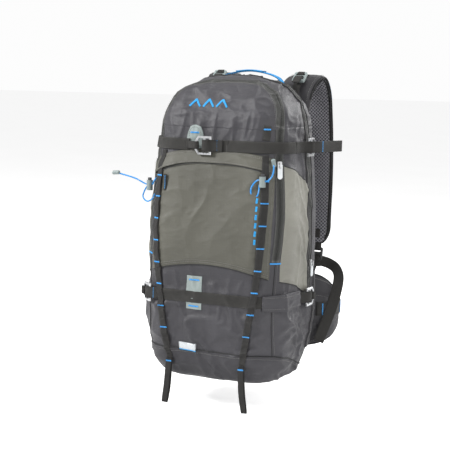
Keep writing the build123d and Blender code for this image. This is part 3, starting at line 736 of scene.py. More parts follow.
def cord_look(name, color):
    """Braided elastic cord: two crossing spirals of yarn."""
    m = Shader(name)
    along, across = m.coordinates()
    a = m.wave(m.maths("ADD", along, m.maths("MULTIPLY", across, 1.2)), 2.4)
    b = m.wave(m.maths("SUBTRACT", along, m.maths("MULTIPLY", across, 1.2)), 2.4)
    braid = m.maths("MAXIMUM", a, b)
    base = linear(color)
    tone = m.mix(m.between(braid, 0.0, 1.0), [c * 0.5 for c in base[:3]] + [1], [min(1, c * 1.2) for c in base[:3]] + [1])
    m.set("Base Color", m.mix(m.between(m.cloud(200, 2), 0.55, 0.7, 0.0, 0.3), tone, (0.6, 0.7, 0.8, 1)))
    m.set("Roughness", m.between(m.cloud(90, 2), 0.2, 0.8, 0.5, 0.7))
    m.bumps((braid, 0.8, 0.3))
    return m.material


def metal_look(name, color, rough=0.3):
    """Cut and tumbled metal with fine scratches and rubbed edges, and painted shade darkening its hollows."""
    m = Shader(name)
    base = linear(color)
    scratch = m.cloud(260, 4, (1.0, 1.0, 0.06))
    cross = m.cloud(200, 4, (0.08, 1.0, 1.0))
    lines = m.maths("ADD", scratch, cross)
    tone = m.mix(m.between(m.cloud(40, 4), 0.35, 0.7), [c * 0.7 for c in base[:3]] + [1], base)
    m.set("Base Color", m.rub_wear_and_hollow_shade(tone, 0.3, (0.9, 0.9, 0.9, 1)))
    m.set("Metallic", 1.0)
    m.set("Roughness", m.between(lines, 0.6, 1.4, rough - 0.1, rough + 0.2))
    m.bumps((m.cloud(500, 3), 0.1, 0.1), (lines, 0.25, 0.06))
    return m.material


def plastic_look(name, color, rough=0.45, grain=700.0):
    """Moulded plastic: a fine spark texture, scuffs and paler edges, and painted shade darkening its hollows."""
    m = Shader(name)
    base = linear(color)
    spark = m.cloud(grain, 2)
    scuff = m.between(m.cloud(35, 6), 0.55, 0.75)
    tone = m.mix(m.maths("MULTIPLY", scuff, 0.25), base, [min(1, c * 1.8 + 0.03) for c in base[:3]] + [1])
    m.set("Base Color", m.rub_wear_and_hollow_shade(tone, 0.07))
    m.set("Roughness", m.between(m.cloud(50, 4), 0.25, 0.75, rough - 0.08, rough + 0.15))
    m.bumps((m.cloud(60, 3), 0.1, 0.3), (spark, 0.35, 0.08))
    return m.material


def foil_look(name, color):
    """Reflective tape: a pale film with a fine honeycomb."""
    m = Shader(name)
    place = m.add("ShaderNodeTexCoord").outputs["Object"]
    cells = m.add("ShaderNodeTexVoronoi", Vector=place, Scale=700.0).outputs["Distance"]
    base = linear(color)
    m.set("Base Color", m.mix(m.between(cells, 0.0, 0.6), base, [c * 0.75 for c in base[:3]] + [1]))
    m.set("Metallic", 0.35)
    m.set("Roughness", m.between(m.cloud(80, 3), 0.2, 0.8, 0.22, 0.4))
    m.bumps((cells, 0.5, 0.1))
    return m.material


LOOK = {
    "dome": pack_cloth("dome_cloth", "#363539", rough=0.43),
    "front": pack_cloth("front_cloth", "#4f4e46", rough=0.52),
    "side": pack_cloth("side_cloth", "#7b7a72", rough=0.6),
    "base": pack_cloth("base_cloth", "#302f33", rough=0.48, ripstop=3.0, weave=1.1),
    "pad": pack_cloth("pad_cloth", "#323134", rough=0.66, ripstop=3.6),
    "lining": pack_cloth("lining_cloth", "#8b9196", rough=0.5, weave=0.7),
    "patch": pack_cloth("patch_cloth", "#87918f", rough=0.6, ripstop=2.4),
    "webbing": webbing_look("webbing", "#2a2927"),
    "narrow": webbing_look("narrow_webbing", "#262524", rib=1.1, chevron=2.0),
    "blue_webbing": webbing_look("blue_webbing", "#2a8fd0"),
    "tape": zip_tape_look("zip_tape", "#282926"),
    "coil": plastic_look("zip_coil", "#2a2b29", 0.35),
    "piping": webbing_look("piping_cloth", "#3a3a3b", rib=0.9, chevron=1.4),
    "binding": webbing_look("binding", "#1d1d1e", rib=1.0, chevron=1.8),
    "mesh": mesh_look("mesh", "#87868b", "#3d3c42", pitch=8.0),
    "back_mesh": mesh_look("back_mesh", "#5b5c61", "#232326", pitch=5.0),
    "thread": thread_look("thread", "#2b2b2c"),
    "pale_thread": thread_look("pale_thread", "#6d6c68"),
    "blue_thread": thread_look("blue_thread", "#2f97dd"),
    "cord": cord_look("elastic_cord", "#2493e0"),
    "hook": metal_look("hook_metal", "#d3d5d8"),
    "slider": metal_look("slider_metal", "#b9babd", 0.35),
    "stay": metal_look("stay_alloy", "#c3c4c8", 0.4),
    "spring": metal_look("spring_steel", "#9d9ea2", 0.25),
    "lock": plastic_look("lock_plastic", "#74807f", 0.42),
    "buckle": plastic_look("buckle_plastic", "#19191b", 0.42),
    "pull": plastic_look("pull_plastic", "#c9cdd0", 0.3),
    "sheet": plastic_look("frame_plastic", "#2a2a2c", 0.5),
    "foil": foil_look("reflective_film", "#d8dde0"),
}

# Hard CAD parts keep their own shape and get a finish here.
KEPT = {
    "hook": ["upper_hook", "side_hook_right", "side_hook_left", "lower_side_hook", "lower_hook"],
    "slider": ["front_zip_slider", "back_zip_slider"],
    "pull": ["front_zip_pull", "back_zip_pull"],
    "lock": ["cord_locks", "cord_grips", "lifter_lock_right", "lifter_lock_left"],
    "buckle": ["ladder_lock_right", "ladder_lock_left", "sternum_plug", "sternum_socket",
               "hip_plug", "hip_socket", "cord_button_right", "cord_button_left"],
    "stay": ["frame_stays", "stay_rivets"],
    "sheet": ["frame_sheet"],
}
for look, names in KEPT.items():
    for name in names:
        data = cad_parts[name].data
        data.materials.clear()
        data.materials.append(LOOK[look])


# ------------------------------------------------------------- the bag and flap
def cloth_rows(name, s, v, lift, material, body, slot):
    v = np.broadcast_to(v, s.shape)
    return grid(name, on_bag(s, v, lift), np.stack([s, v], -1), material, body, slot)


def bag_cloth():
    """The bag in three lengths: below the flap, beside the flap, and the top behind it."""
    share = np.linspace(-1, 1, 321)
    v = np.concatenate([np.linspace(6, 60, 16), np.linspace(64, 450, 120)])[:, None]
    low = cloth_rows("bag_cloth_low", share * half_girth(v), v, 0.0, LOOK["dome"], "pack", "dome_cloth")
    arch = curve(zip_arch[:-2], 2.5)
    s, v = arch[:, :1], arch[:, 1:]
    around = np.linspace(0, 1, 261)
    s = s + around * 2 * (half_girth(v) - s)
    s = np.where(s > half_girth(v), s - 2 * half_girth(v), s)
    mid = cloth_rows("bag_cloth_mid", s, v, 0.0, LOOK["dome"], "pack", "dome_cloth")
    v = np.linspace(float(arch[-1, 1]), 598, 22)[:, None]
    top = cloth_rows("bag_cloth_top", share * half_girth(v), v, 0.0, LOOK["dome"], "pack", "dome_cloth")
    for part in (low, mid, top):
        thicken(part, 1.6)
        part.data.materials.append(LOOK["lining"])
        part.modifiers["thickness"].material_offset = 1
    close_top()
    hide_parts("main_bag")


def close_top():
    """The small crown that closes the top rings."""
    share = np.linspace(-1, 1, 41)
    v = np.array([597.5])
    ring = on_bag(share * half_girth(v), np.broadcast_to(v, share.shape), 0.0)
    middle = ring.mean(0)
    rows = np.stack([ring * (1 - k) + middle * k + (0, 0, 0.6 * k) for k in (0, 0.5, 0.98)])
    grid("bag_crown", rows, rows[..., :2], LOOK["dome"], "pack", "dome_cloth")


def flap_cloth():
    """The top flap: the front of the dome inside the zip, its edges turned down to the cloth under them."""
    arch = curve(zip_arch, 1.0)
    corner = int(np.argmin(np.abs(arch[:, 0] - (ARCH_FOOT - 44))))
    right = arch[:corner + 1]
    right = np.vstack([[right[0, 0] + 0.5, 445], right])
    over = arch[corner:]
    top = np.vstack([mirror_path(over), over[::-1][1:]])
    foot = right[0]
    bottom = [(-foot[0], foot[1]), (0, foot[1]), tuple(foot)]
    right, top = even(right, 5), even(top, 5)
    sv = coons(bottom, right, top, mirror_path(right), 120, 70)
    lift = rolled(*sv.shape[:2], 0.9, -0.6)
    points = on_bag(sv[..., 0], sv[..., 1], lift)
    flap = make_mesh("flap_cloth", points, grid_faces(*sv.shape[:2]), sv)
    flap.data.materials.append(LOOK["dome"])
    flap.data.materials.append(LOOK["lining"])
    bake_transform(flap)
    thicken(flap, 1.4).modifiers["thickness"].material_offset = 1
    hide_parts("top_flap")
    thread = curve(zip_arch, 2.0)
    seam("flap_stitch_right", beside(thread, -9.5), "top_flap", lift=1.0, material=LOOK["pale_thread"])
    seam("flap_stitch_left", beside(mirror_path(thread), 9.5), "top_flap", lift=1.0, material=LOOK["pale_thread"])


def zip_teeth(name, path, offset, body, base=on_bag, lift=1.05):
    """Half a zip's coil: short turns laid across the edge of the tape."""
    path = beside(curve(path, 2.0), offset)
    points = base(path[:, 0], path[:, 1], lift)
    out = normals(path[:, 0], path[:, 1])
    return stitches(name, points, out, LOOK["coil"], body, "zip_tape", length=2.6, pitch=1.9, radius=0.55, turn=True)


def zips():
    """The front zip: fixed legs below the flap, and an arch whose inner half rides on it."""
    arch_full = np.vstack([zip_arch, mirror_path(zip_arch)[::-1][1:]])
    tape = strip("zip_arch_outer", arch_full, 0, 0.9, LOOK["tape"], "pack", "zip_tape", left=0.1, right=7.5)
    zip_teeth("zip_arch_outer_teeth", arch_full, 1.4, "pack")
    inner = strip("zip_arch_inner", arch_full, 0, 1.5, LOOK["tape"], "top_flap", "zip_tape", left=-8.0, right=-0.1, floor=-0.4)
    zip_teeth("zip_arch_inner_teeth", arch_full, -1.4, "top_flap", lift=1.3)
    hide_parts("front_zip_tape")
    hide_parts("top_zip_tape")
    for side, path in (("right", zip_leg), ("left", mirror_path(zip_leg))):
        strip(f"zip_leg_{side}", path, 15.0, 0.9, LOOK["tape"], "pack", "zip_tape")
        zip_teeth(f"zip_leg_teeth_{side}", path, -1.3, "pack")
        zip_teeth(f"zip_leg_teeth2_{side}", path, 1.3, "pack")
        for offset in (-8.6, 8.6):
            tag = "in" if offset < 0 else "out"
            seam(f"zip_leg_stitch_{side}_{tag}", path, offset=offset, lift=0.5, material=LOOK["thread"])
        end = path[0]
        bar("zip_end_" + side, end + (0, -2), 20, "pack", on_bag, 1.2)
    back_zip()


def back_zip():
    """The zip beside the back panel, up both sides and over the top."""
    side_v = np.array([160, 190, 230, 290, 350, 410, 455, 490])
    side = [(float(s_of_y(28, v)), v) for v in side_v]
    crown = locate([(92, 28, 512), (74, 28, 523), (50, 28, 531), (24, 28, 534), (0, 28, 535)])
    half = np.vstack([side, crown])
    right = strip("back_zip_right", half, 14.0, 0.9, LOOK["tape"], "pack", "zip_tape")
    strip("back_zip_left", mirror_path(half), 14.0, 0.9, LOOK["tape"], "pack", "zip_tape")
    for tag, path in (("right", half), ("left", mirror_path(half))):
        zip_teeth(f"back_zip_teeth_a_{tag}", path, -1.3, "pack")
        zip_teeth(f"back_zip_teeth_b_{tag}", path, 1.3, "pack")
        sign = -1 if tag == "right" else 1
        piping(f"back_piping_{tag}", beside(curve(path, 4), sign * 9.0), 1.5)
        piping(f"back_piping_rear_{tag}", beside(curve(path, 4), -sign * 8.6), 1.2)
        seam(f"back_zip_stitch_{tag}", path[:8], offset=sign * 12.5, lift=0.3, material=LOOK["pale_thread"])
    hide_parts("back_zip_tape")


def bar(name, centre, width, body, base, lift, angle=0.0, material=None, height=2.8):
    """A bartack: dense threads side by side, at a point of (s, v)."""
    t = np.linspace(-width / 2, width / 2, 12)
    path = np.stack([centre[0] + t * math.cos(angle), centre[1] + t * math.sin(angle)], -1)
    points = base(path[:, 0], path[:, 1], lift)
    return stitches(name, points, normals(path[:, 0], path[:, 1]), material or LOOK["blue_thread"], body,
                    "bartack", length=height, pitch=0.75, radius=0.5, turn=True)


def base_cloth():
    """The heavier cloth of the base, turned up further at the front."""
    share = np.linspace(-1, 1, 281)
    rows = np.concatenate([[-74], np.linspace(-60, 8, 12)])
    steps = np.concatenate([np.linspace(0, 0.9, 12), [0.95, 0.975, 0.99, 1.0]])
    top = 20 + 38 * (1 - step(np.abs(share), 0.28, 0.72))
    v = np.vstack([np.broadcast_to(rows[:, None], (len(rows), len(share))), 9 + steps[:, None] * (top - 9)])
    lift = np.full(v.shape, 1.3)
    lift[-1], lift[-2], lift[-3] = -0.8, 0.6, 1.15
    s = share * half_girth(v)
    cover = cloth_rows("base_cloth", s, v, lift, LOOK["base"], "pack", "base_cloth")
    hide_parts("base_panel")
    keep = np.abs(share) < 0.93
    edge = np.stack([(share * half_girth(top))[keep], top[keep]], -1)
    piping("base_piping", edge, 1.2, lift=0.7)
    seam("base_stitch", edge, offset=5.0, lift=1.5, material=LOOK["pale_thread"])
    floor_ring = base_middle()
    return floor_ring


def base_middle():
    """The flat middle of the base."""
    share = np.linspace(-1, 1, 61)
    v = np.full(share.shape, -73.0)
    ring = on_bag(share * half_girth(v), v, 1.3)
    middle = ring.mean(0)
    rows = np.stack([ring * (1 - k) + middle * k for k in (0, 0.5, 0.98)])
    return grid("base_middle", rows, rows[..., :2], LOOK["base"], "pack", "base_cloth")


def front_pocket():
    """The big front pocket, standing out between the zips, with a darted hem."""
    s = np.concatenate([-1 + spread(90) * 2])
    v0 = spread(110)
    v = 186 + v0 * 220
    wide = s_of_x(112.0, v)
    ss = s[None] * wide[:, None]
    low, high = pocket_edge(ss)
    vv = low + v0[:, None] * (high - low)
    ss = s[None] * s_of_x(112.0, vv[:, -1:])
    lift = np.maximum(pocket_height(ss, vv), 0.5) + 0.25 * (ridge(ss / 34, vv / 15, 8, 2.5) - 0.3)
    lift[:, [0, -1]], lift[[0, -1]] = -0.8, -0.8
    cover = grid("front_pocket_cloth", on_bag(ss, vv, lift), np.stack([ss, vv], -1), LOOK["front"], "pack", "front_cloth")
    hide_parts("front_pocket")
    hem = np.array([(float(s_of_x(x, 200)), 0) for x in np.linspace(-110, 110, 23)])
    hem[:, 1] = pocket_edge(hem[:, 0])[0]
    seam("pocket_hem_stitch", hem + (0, 4.5), lift=0.5, base=layer, material=LOOK["pale_thread"])
    seam("pocket_hem_stitch2", hem + (0, 8.0), lift=0.5, base=layer, material=LOOK["pale_thread"])
    piping("pocket_hem_piping", hem + (0, -0.4), 1.1, lift=0.4, material=LOOK["piping"])
    for side in (-1, 1):
        edge = np.array([(side * (float(s_of_x(112, z)) - 4.5), z) for z in np.linspace(196, 372, 20)])
        seam("pocket_side_stitch_" + ("left" if side < 0 else "right"), edge, lift=0.4, base=layer,
             material=LOOK["pale_thread"])


def pocket_flap():
    """The flap over the pocket's zip. Its lower edge hangs free."""
    x = -1 + 2 * spread(90)
    t = np.concatenate([[0, 0.02, 0.06], np.linspace(0.12, 0.96, 18), [0.985, 1.0, 1.0, 0.96]])
    s = np.broadcast_to(x * float(s_of_x(111, 385)), (len(t), len(x)))
    top = 391 + 19 * (1 - np.abs(x) ** 2.2) + 7 * (x + 1) / 2 * np.abs(x) ** 2
    low = 361 + 25 * (1 - np.abs(x) ** 2.6) + 10 * (x + 1) / 2 * np.abs(x) ** 2
    v = top + t[:, None] * (low - top)
    free = t[:, None] ** 1.6
    lift = pocket_height(s, v) * (1 - free) + free * (pocket_height(s, low[None]) + 3.2) + 1.4
    lift = lift + 0.5 * free * np.sin(s / 17.0)
    lift[-1] -= 2.6
    lift[-2] -= 1.2
    lift[0] = -0.4
    lift[:, [0, -1]] = -0.6
    cover = grid("pocket_flap_cloth", on_bag(s, v, lift), np.stack([s, v], -1), LOOK["front"], "pack", "front_cloth")
    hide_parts("pocket_flap")
    for name, at in (("top", 0.12), ("top2", 0.24), ("low", 0.9)):
        k = int(np.argmin(np.abs(t[:-2] - at)))
        points = on_bag(s[k], v[k], lift[k] + 0.15)[4:-4]
        stitches("flap_seam_" + name, points, normals(s[k], v[k])[4:-4], LOOK["pale_thread"], "pack", "bartack")
    zip_path = np.stack([x[6:-6] * 108, (low + 4)[6:-6]], -1)
    strip("pocket_zip_tape", zip_path, 12, 0.8, LOOK["tape"], "pack", "zip_tape", base=layer)


def side_panels():
    """The paler side panels between the two zips."""
    for side, tag in ((1, "right"), (-1, "left")):
        v_front = np.linspace(188, 386, 14)
        front = np.stack([zip_s(v_front) + 8.5, v_front], -1)
        v_rear = np.linspace(157, 352, 14)
        rear = np.stack([s_of_y(18.0, v_rear), v_rear], -1)
        bottom = [front[0], ((front[0, 0] + rear[0, 0]) / 2, 176), rear[0]]
        top = [front[-1], ((front[-1, 0] + rear[-1, 0]) / 2 - 4, 374), rear[-1]]
        edges = [np.array(e) * (side, 1) for e in (bottom, rear, top, front)]
        cover = panel("side_panel_" + tag, edges, 50, 80, 1.1, LOOK["side"], "pack", "side_cloth",
                      extra=lambda s, v: 0.5 * (ridge(s / 20, v / 60, 14, 2.0) - 0.3))
        if side > 0:
            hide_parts("side_panels")
        for name, edge, shift in (("low", edges[0], (0, 4)), ("top", edges[2], (0, -4))):
            seam(f"side_stitch_{name}_{tag}", curve(edge, 4) + shift, lift=1.4, material=LOOK["pale_thread"])
            piping(f"side_piping_{name}_{tag}", edge, 1.0, lift=0.5)


def seams_of_the_bag():
    """Panel seams: down from each front zip, and a short run of stitches by each lower corner of the front pocket."""
    for side, tag in ((1, "right"), (-1, "left")):
        down = np.array([(side * float(s_of_x(119 - 0.02 * (222 - z), z)), z) for z in (218, 200, 170, 120, 90, 58)])
        piping("corner_piping_" + tag, down, 0.9, lift=0.2)
        seam("corner_stitch_" + tag, down, offset=-4.0, lift=0.4, material=LOOK["pale_thread"])
        rise = np.array([(side * float(s_of_x(x, z)), z) for x, z in ((113, 208), (100, 204), (88, 202))])
        seam("hem_run_" + tag, rise, lift=0.4, material=LOOK["pale_thread"])


# ------------------------------------------------------------ webbing on the bag
CHAIN = [(96, 404), (99, 310), (95, 210), (86, 132), (74, 62), (70, 40)]
TACKS = [398 - 38 * k for k in range(10)]


def daisy_chains():
    """Daisy chains: webbing that stands off the bag a little between its bartacks."""
    for side, tag in ((1, "right"), (-1, "left")):
        path = curve(xz(CHAIN) * (side, 1), 1.6)

        def bow(run, levels=path[:, 1]):
            padded = np.concatenate([[levels[0]], levels, [levels[-1]]])
            phase = np.interp(padded[::-1], TACKS[::-1], np.arange(len(TACKS))[::-1][::-1])[::-1]
            return 2.1 * np.abs(np.sin(PI * phase)) ** 0.7

        chain = strip("daisy_chain_" + tag, path, 11.0, 2.6, LOOK["narrow"], "pack", "webbing", base=layer,
                      floor=0.9, raised=bow, spline=False)
        if side > 0:
            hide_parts("daisy_chains")
        for k, level in enumerate(TACKS[:-1]):
            if k == 0:
                continue
            at = path[int(np.argmin(np.abs(path[:, 1] - level)))]
            tack = bar(f"daisy_tack_{tag}_{k}", at, 11.5, "pack", layer, 2.9)
            if side > 0 and k == 1:
                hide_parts("bartacks")


def plane_at(origin, turn):
    """Origin, level direction and outward direction of a place on the bag, as in the CAD."""
    c, s = math.cos(math.radians(turn)), math.sin(math.radians(turn))
    return np.array(origin, float), np.array((-s, c, 0.0)), np.array((c, s, 0.0))


def cad_row(level):
    """The CAD form's outline at a height: straight between its rows."""
    rows = [(80, 131, -99, 79, 60), (200, 136, -101, 80, 62), (320, 134, -93, 80, 60), (420, 127, -83, 78, 56)]
    rows = np.array(rows, float)
    return [float(np.interp(level, rows[:, 0], rows[:, k])) for k in range(1, 5)]


UPPER, LOWER, HOOK_LIFT = 416.0, 152.0, 12.5


def corner_spot(level, turn, lift):
    half, front, _, radius = cad_row(level)
    c, s = math.cos(math.radians(turn)), math.sin(math.radians(turn))
    reach = radius + lift
    return (half - radius + reach * c, front + radius + reach * s, level)


PLACES = {
    "upper": plane_at((-15, cad_row(UPPER)[1] - HOOK_LIFT, UPPER), -90),
    "side": plane_at((cad_row(UPPER)[0] + HOOK_LIFT + 0.6, 16, UPPER), 0),
    "low_side": plane_at((cad_row(LOWER)[0] + HOOK_LIFT, 16, LOWER), 0),
    "low": plane_at(corner_spot(LOWER, -50, HOOK_LIFT), -50),
}


def in_plane(place, points):
    """World points of (along, out) pairs in a place."""
    origin, along, out = PLACES[place]
    return np.array([origin + along * u + out * n for u, n in points])


def fold(centre, direction, surface, reach=40.0, lap=0.74):
    """The path of webbing round a bar and back: out under it, over it, and down onto itself."""
    c, d = centre, direction
    s1, s2, s3 = surface(c + reach * d), surface(c + 0.62 * reach * d), surface(c + lap * reach * d)
    return [(c + reach * d, s1), (c + 0.62 * reach * d, max(s2, -9.2) + 0.2), (c + 15 * d, -6.2), (c + 7 * d, -3.9),
            (c, -3.5), (c - 3.6 * d, -1.6), (c - 3.6 * d, 1.6), (c, 3.6), (c + 6 * d, 2.0), (c + 13 * d, -2.6),
            (c + 0.58 * reach * d, max(s2, -9.2) + 3.0), (c + lap * reach * d, s3 + 2.6)]


def flat_surface(depth):
    return lambda u: depth


def round_surface(depth, radius):
    return lambda u: depth - (radius - math.sqrt(max(radius * radius - u * u, 1.0)))


def webbing_fold(name, place, points, width, body="pack", side=1, material=None):
    path = curve(in_plane(place, points), 1.4) * (side, 1, 1)
    return ribbon(name, path, (0, 0, side), width, 1.7, material or LOOK["webbing"], body, spline=False)


def hinged(place, hook, centre, direction, side=1):
    """Webbing sewn to the pack at one end and held by a hook's bar at the other."""
    origin, along, _ = PLACES[place]
    ends = [(origin + along * (centre + k * direction)) * (side, 1, 1) * MM for k in (22, 4)]
    return ("pack", hook, tuple(ends[0]), tuple(ends[1]))


def cross_stitch(name, place, u, n, width, side=1, body="pack", count=2, material=None):
    """Stitching across webbing at a place."""
    origin, along, out = PLACES[place]
    for k in range(count):
        z = np.linspace(-width / 2 + 1, width / 2 - 1, 10)
        points = (origin + along * (u + 1.6 * k) + out * n)[None] + z[:, None] * np.array((0, 0, 1.0))
        stitches(f"{name}_{k}", points * (side, 1, 1), np.broadcast_to(out, points.shape) * (side, 1, 1),
                 material or LOOK["blue_thread"], body, "bartack", length=2.0, pitch=2.4, radius=0.42)


def upper_strap():
    """The upper ski strap: hook, patch, and both side buckles."""
    lift = 3.4
    s_side = float(s_of_y(-24.0, UPPER))
    start = float(s_of_x(24, UPPER))
    level = [(s, UPPER) for s in np.linspace(start, s_side, 12)]
    right = strip("ski_strap_upper_right", level, 20.0, lift, LOOK["webbing"], "pack", "webbing", floor=1.4)
    level = [(-s, UPPER) for s in np.linspace(float(s_of_x(46, UPPER)), s_side, 12)]
    left = strip("ski_strap_upper_left", level, 20.0, lift, LOOK["webbing"], "pack", "webbing", floor=1.4)
    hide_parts("upper_ski_strap")
    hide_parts("side_straps")
    front = flat_surface(-HOOK_LIFT + lift - 0.6)
    webbing_fold("upper_fold", "upper", fold(2, 1, front, 42), 20)
    anchor = webbing_fold("upper_anchor", "upper", fold(-14, -1, front, 30), 13, hinged("upper", "upper_hook", -14, -1))
    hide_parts("anchor_loops")
    cross_stitch("upper_fold_stitch", "upper", 22, -4.9, 20)
    for side, tag in ((1, "right"), (-1, "left")):
        tail = [(-46, -9.9), (-30, -9.4), (-16, -7.0), (-9, -4.0), (-5.6, -0.4), (-2.8, 3.4), (2, 4.9), (9, 8.4)]
        free = [(18, 11.8), (42, 17.0), (78, 27.4)] if side > 0 else [(14, 12.0), (23, 19.0), (29, 29.0)]
        webbing_fold("upper_tail_" + tag, "side", tail + free, 20, side=side)
        webbing_fold("upper_side_anchor_" + tag, "side", fold(14, 1, flat_surface(-11.6), 32), 13,
                     hinged("side", "side_hook_" + tag, 14, 1, side), side)
        cross_stitch("upper_tail_stitch_" + tag, "side", 20, 13.4 if side > 0 else 13.2, 20, side=side)
    edges = [xz([(-53, 410), (-22, 410)]), xz([(-22, 410), (-22, 432), (-27, 446)]),
             xz([(-48, 446), (-38, 449), (-27, 446)]), xz([(-53, 410), (-53, 432), (-48, 446)])]
    cover = panel("upper_patch", edges, 24, 26, 1.4, LOOK["patch"], "pack", "patch_cloth", base=on_bag)
    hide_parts("strap_patches")
    bar("upper_patch_tack", (-38, 436), 17, "pack", on_bag, 1.8)
    seam("upper_patch_stitch", xz([(-49, 429), (-48, 440), (-38, 445), (-28, 440), (-26, 429)]), lift=1.6,
         material=LOOK["thread"])


def lower_strap():
    """The lower ski strap: it passes under the right daisy chain into a cloth sleeve."""
    level = [(s, LOWER) for s in np.linspace(float(s_of_x(-88, LOWER)), float(s_of_x(104, LOWER)), 14)]
    cover = strip("ski_strap_lower", level, 20.0, 1.9, LOOK["webbing"], "pack", "webbing", floor=0.2)
    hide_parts("lower_ski_strap")
    curved = round_surface(-HOOK_LIFT + 2.4, 62.0)
    webbing_fold("lower_fold", "low", fold(-2, -1, curved, 30, 0.8), 20, side=-1)
    webbing_fold("lower_anchor", "low", fold(14, 1, lambda u: curved(u - 2), 26, 0.8), 13,
                 hinged("low", "lower_hook", 14, 1, -1), -1)
    cross_stitch("lower_fold_stitch", "low", -19, -4.3, 20, side=-1)
    cross_stitch("lower_anchor_stitch", "low", 27, -6.3, 13, side=-1)
    s0, s1 = float(s_of_x(-122, LOWER)), -float(s_of_y(58.0, LOWER))
    strip("lower_side_left", [(s, LOWER) for s in np.linspace(s0, s1, 10)], 13, 1.9, LOOK["webbing"], "pack", "webbing")
    s0, s1 = float(s_of_x(103, 151)), float(s_of_y(-12.0, 151))
    edges = [[(s0, 138), (s0 * 0.5 + s1 * 0.5, 136), (s1, 139)], [(s1, 139), (s1, 165)],
             [(s0, 164), (s0 * 0.5 + s1 * 0.5, 167), (s1, 165)], [(s0, 138), (s0, 164)]]
    sleeve = panel("strap_sleeve_cloth", edges, 40, 22, 3.4, LOOK["dome"], "pack", "dome_cloth",
                   extra=lambda s, v: 1.0 * bump(v, 139, 164) + 0.6 * (ridge(s / 13, v / 60, 20, 2.0) - 0.3))
    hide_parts("strap_sleeve")
    for name, z in (("low", 141.5), ("top", 161.5)):
        seam("sleeve_stitch_" + name, [(s, z) for s in np.linspace(s0 + 3, s1 - 3, 8)], lift=3.9,
             material=LOOK["pale_thread"])
    webbing_fold("low_side_fold", "low_side", fold(-2, -1, flat_surface(-10.2), 32, 0.7), 20)
    webbing_fold("low_side_anchor", "low_side", fold(14, 1, flat_surface(-11.4), 30), 13,
                 hinged("low_side", "lower_side_hook", 14, 1))
    cross_stitch("low_side_stitch", "low_side", -17, -4.0, 20)
    edges = [xz([(-38, 130), (-8, 130)]), xz([(-8, 130), (-8, 189)]), xz([(-38, 189), (-8, 189)]),
             xz([(-38, 130), (-38, 189)])]
    panel("lower_patch", edges, 22, 34, 1.1, LOOK["patch"], "pack", "patch_cloth")
    bar("lower_patch_tack_top", (-23, 182), 20, "pack", on_bag, 1.5)
    bar("lower_patch_tack_low", (-23, 136), 20, "pack", on_bag, 1.5)


def small_labels():
    """Keeper tab, reflective tab, and plain woven marks in place of lettering."""
    strip("keeper_tab", xz([(94, 428), (94, 452)]), 13, 1.7, LOOK["webbing"], "pack", "webbing", floor=-0.6)
    bar("keeper_tack", (float(s_of_x(94, 446)), 446), 11, "pack", on_bag, 2.0)
    tab = strip("reflective_tab", xz([(-50, 64), (-18, 62.5)]), 13, 2.6, LOOK["foil"], "pack", "patch_cloth", floor=-0.6, crown=1.2)
    strip("reflective_edge", xz([(-50, 57.5), (-18, 56)]), 2.4, 2.8, LOOK["blue_webbing"], "pack", "blue_webbing")
    for k in range(3):
        x = -56 + 26 * k
        path = xz([(x, 481), (x + 10, 495), (x + 20, 481)])
        strip(f"woven_mark_{k}", even(path, 1.5), 3.4, 2.0, LOOK["blue_webbing"], "top_flap", "blue_webbing",
              floor=0.2, spline=False)
    for k in range(6):
        path = xz([(88, 252 + 14 * k), (88.5, 261 + 14 * k)])
        strip(f"woven_dash_{k}", path, 3.0, 0.9, LOOK["blue_webbing"], "pack", "blue_webbing", base=layer, floor=0.1)


# ------------------------------------------------------------------ the harness
PAD = [(72, 91, 478), (74, 98, 508), (79, 117, 530), (85, 140, 533), (89, 155, 508),
       (92, 159, 460), (96, 158, 400), (100, 154, 340), (103, 147, 285), (106, 141, 232)]


def pad_path(side, gap=4.0):
    """The middle of a shoulder pad, with its across and outward directions."""
    path = curve(np.array(PAD, float), gap) * (side, 1, 1)
    heading = tangents(path)
    across = np.array((1.0, 0, 0)) - heading * heading[:, :1]
    across = unit(across)
    return path, across, np.cross(across, heading), heading


def pad_width(share):
    """Half the pad's width along its length: full at the yoke, rounded off at the end."""
    end = np.clip((share - 0.925) / 0.08, 0, 1)
    return (30.5 - 3.5 * step(share, 0.45, 0.95)) * np.sqrt(np.clip(1 - end ** 2 * 0.86, 0.1, 1))


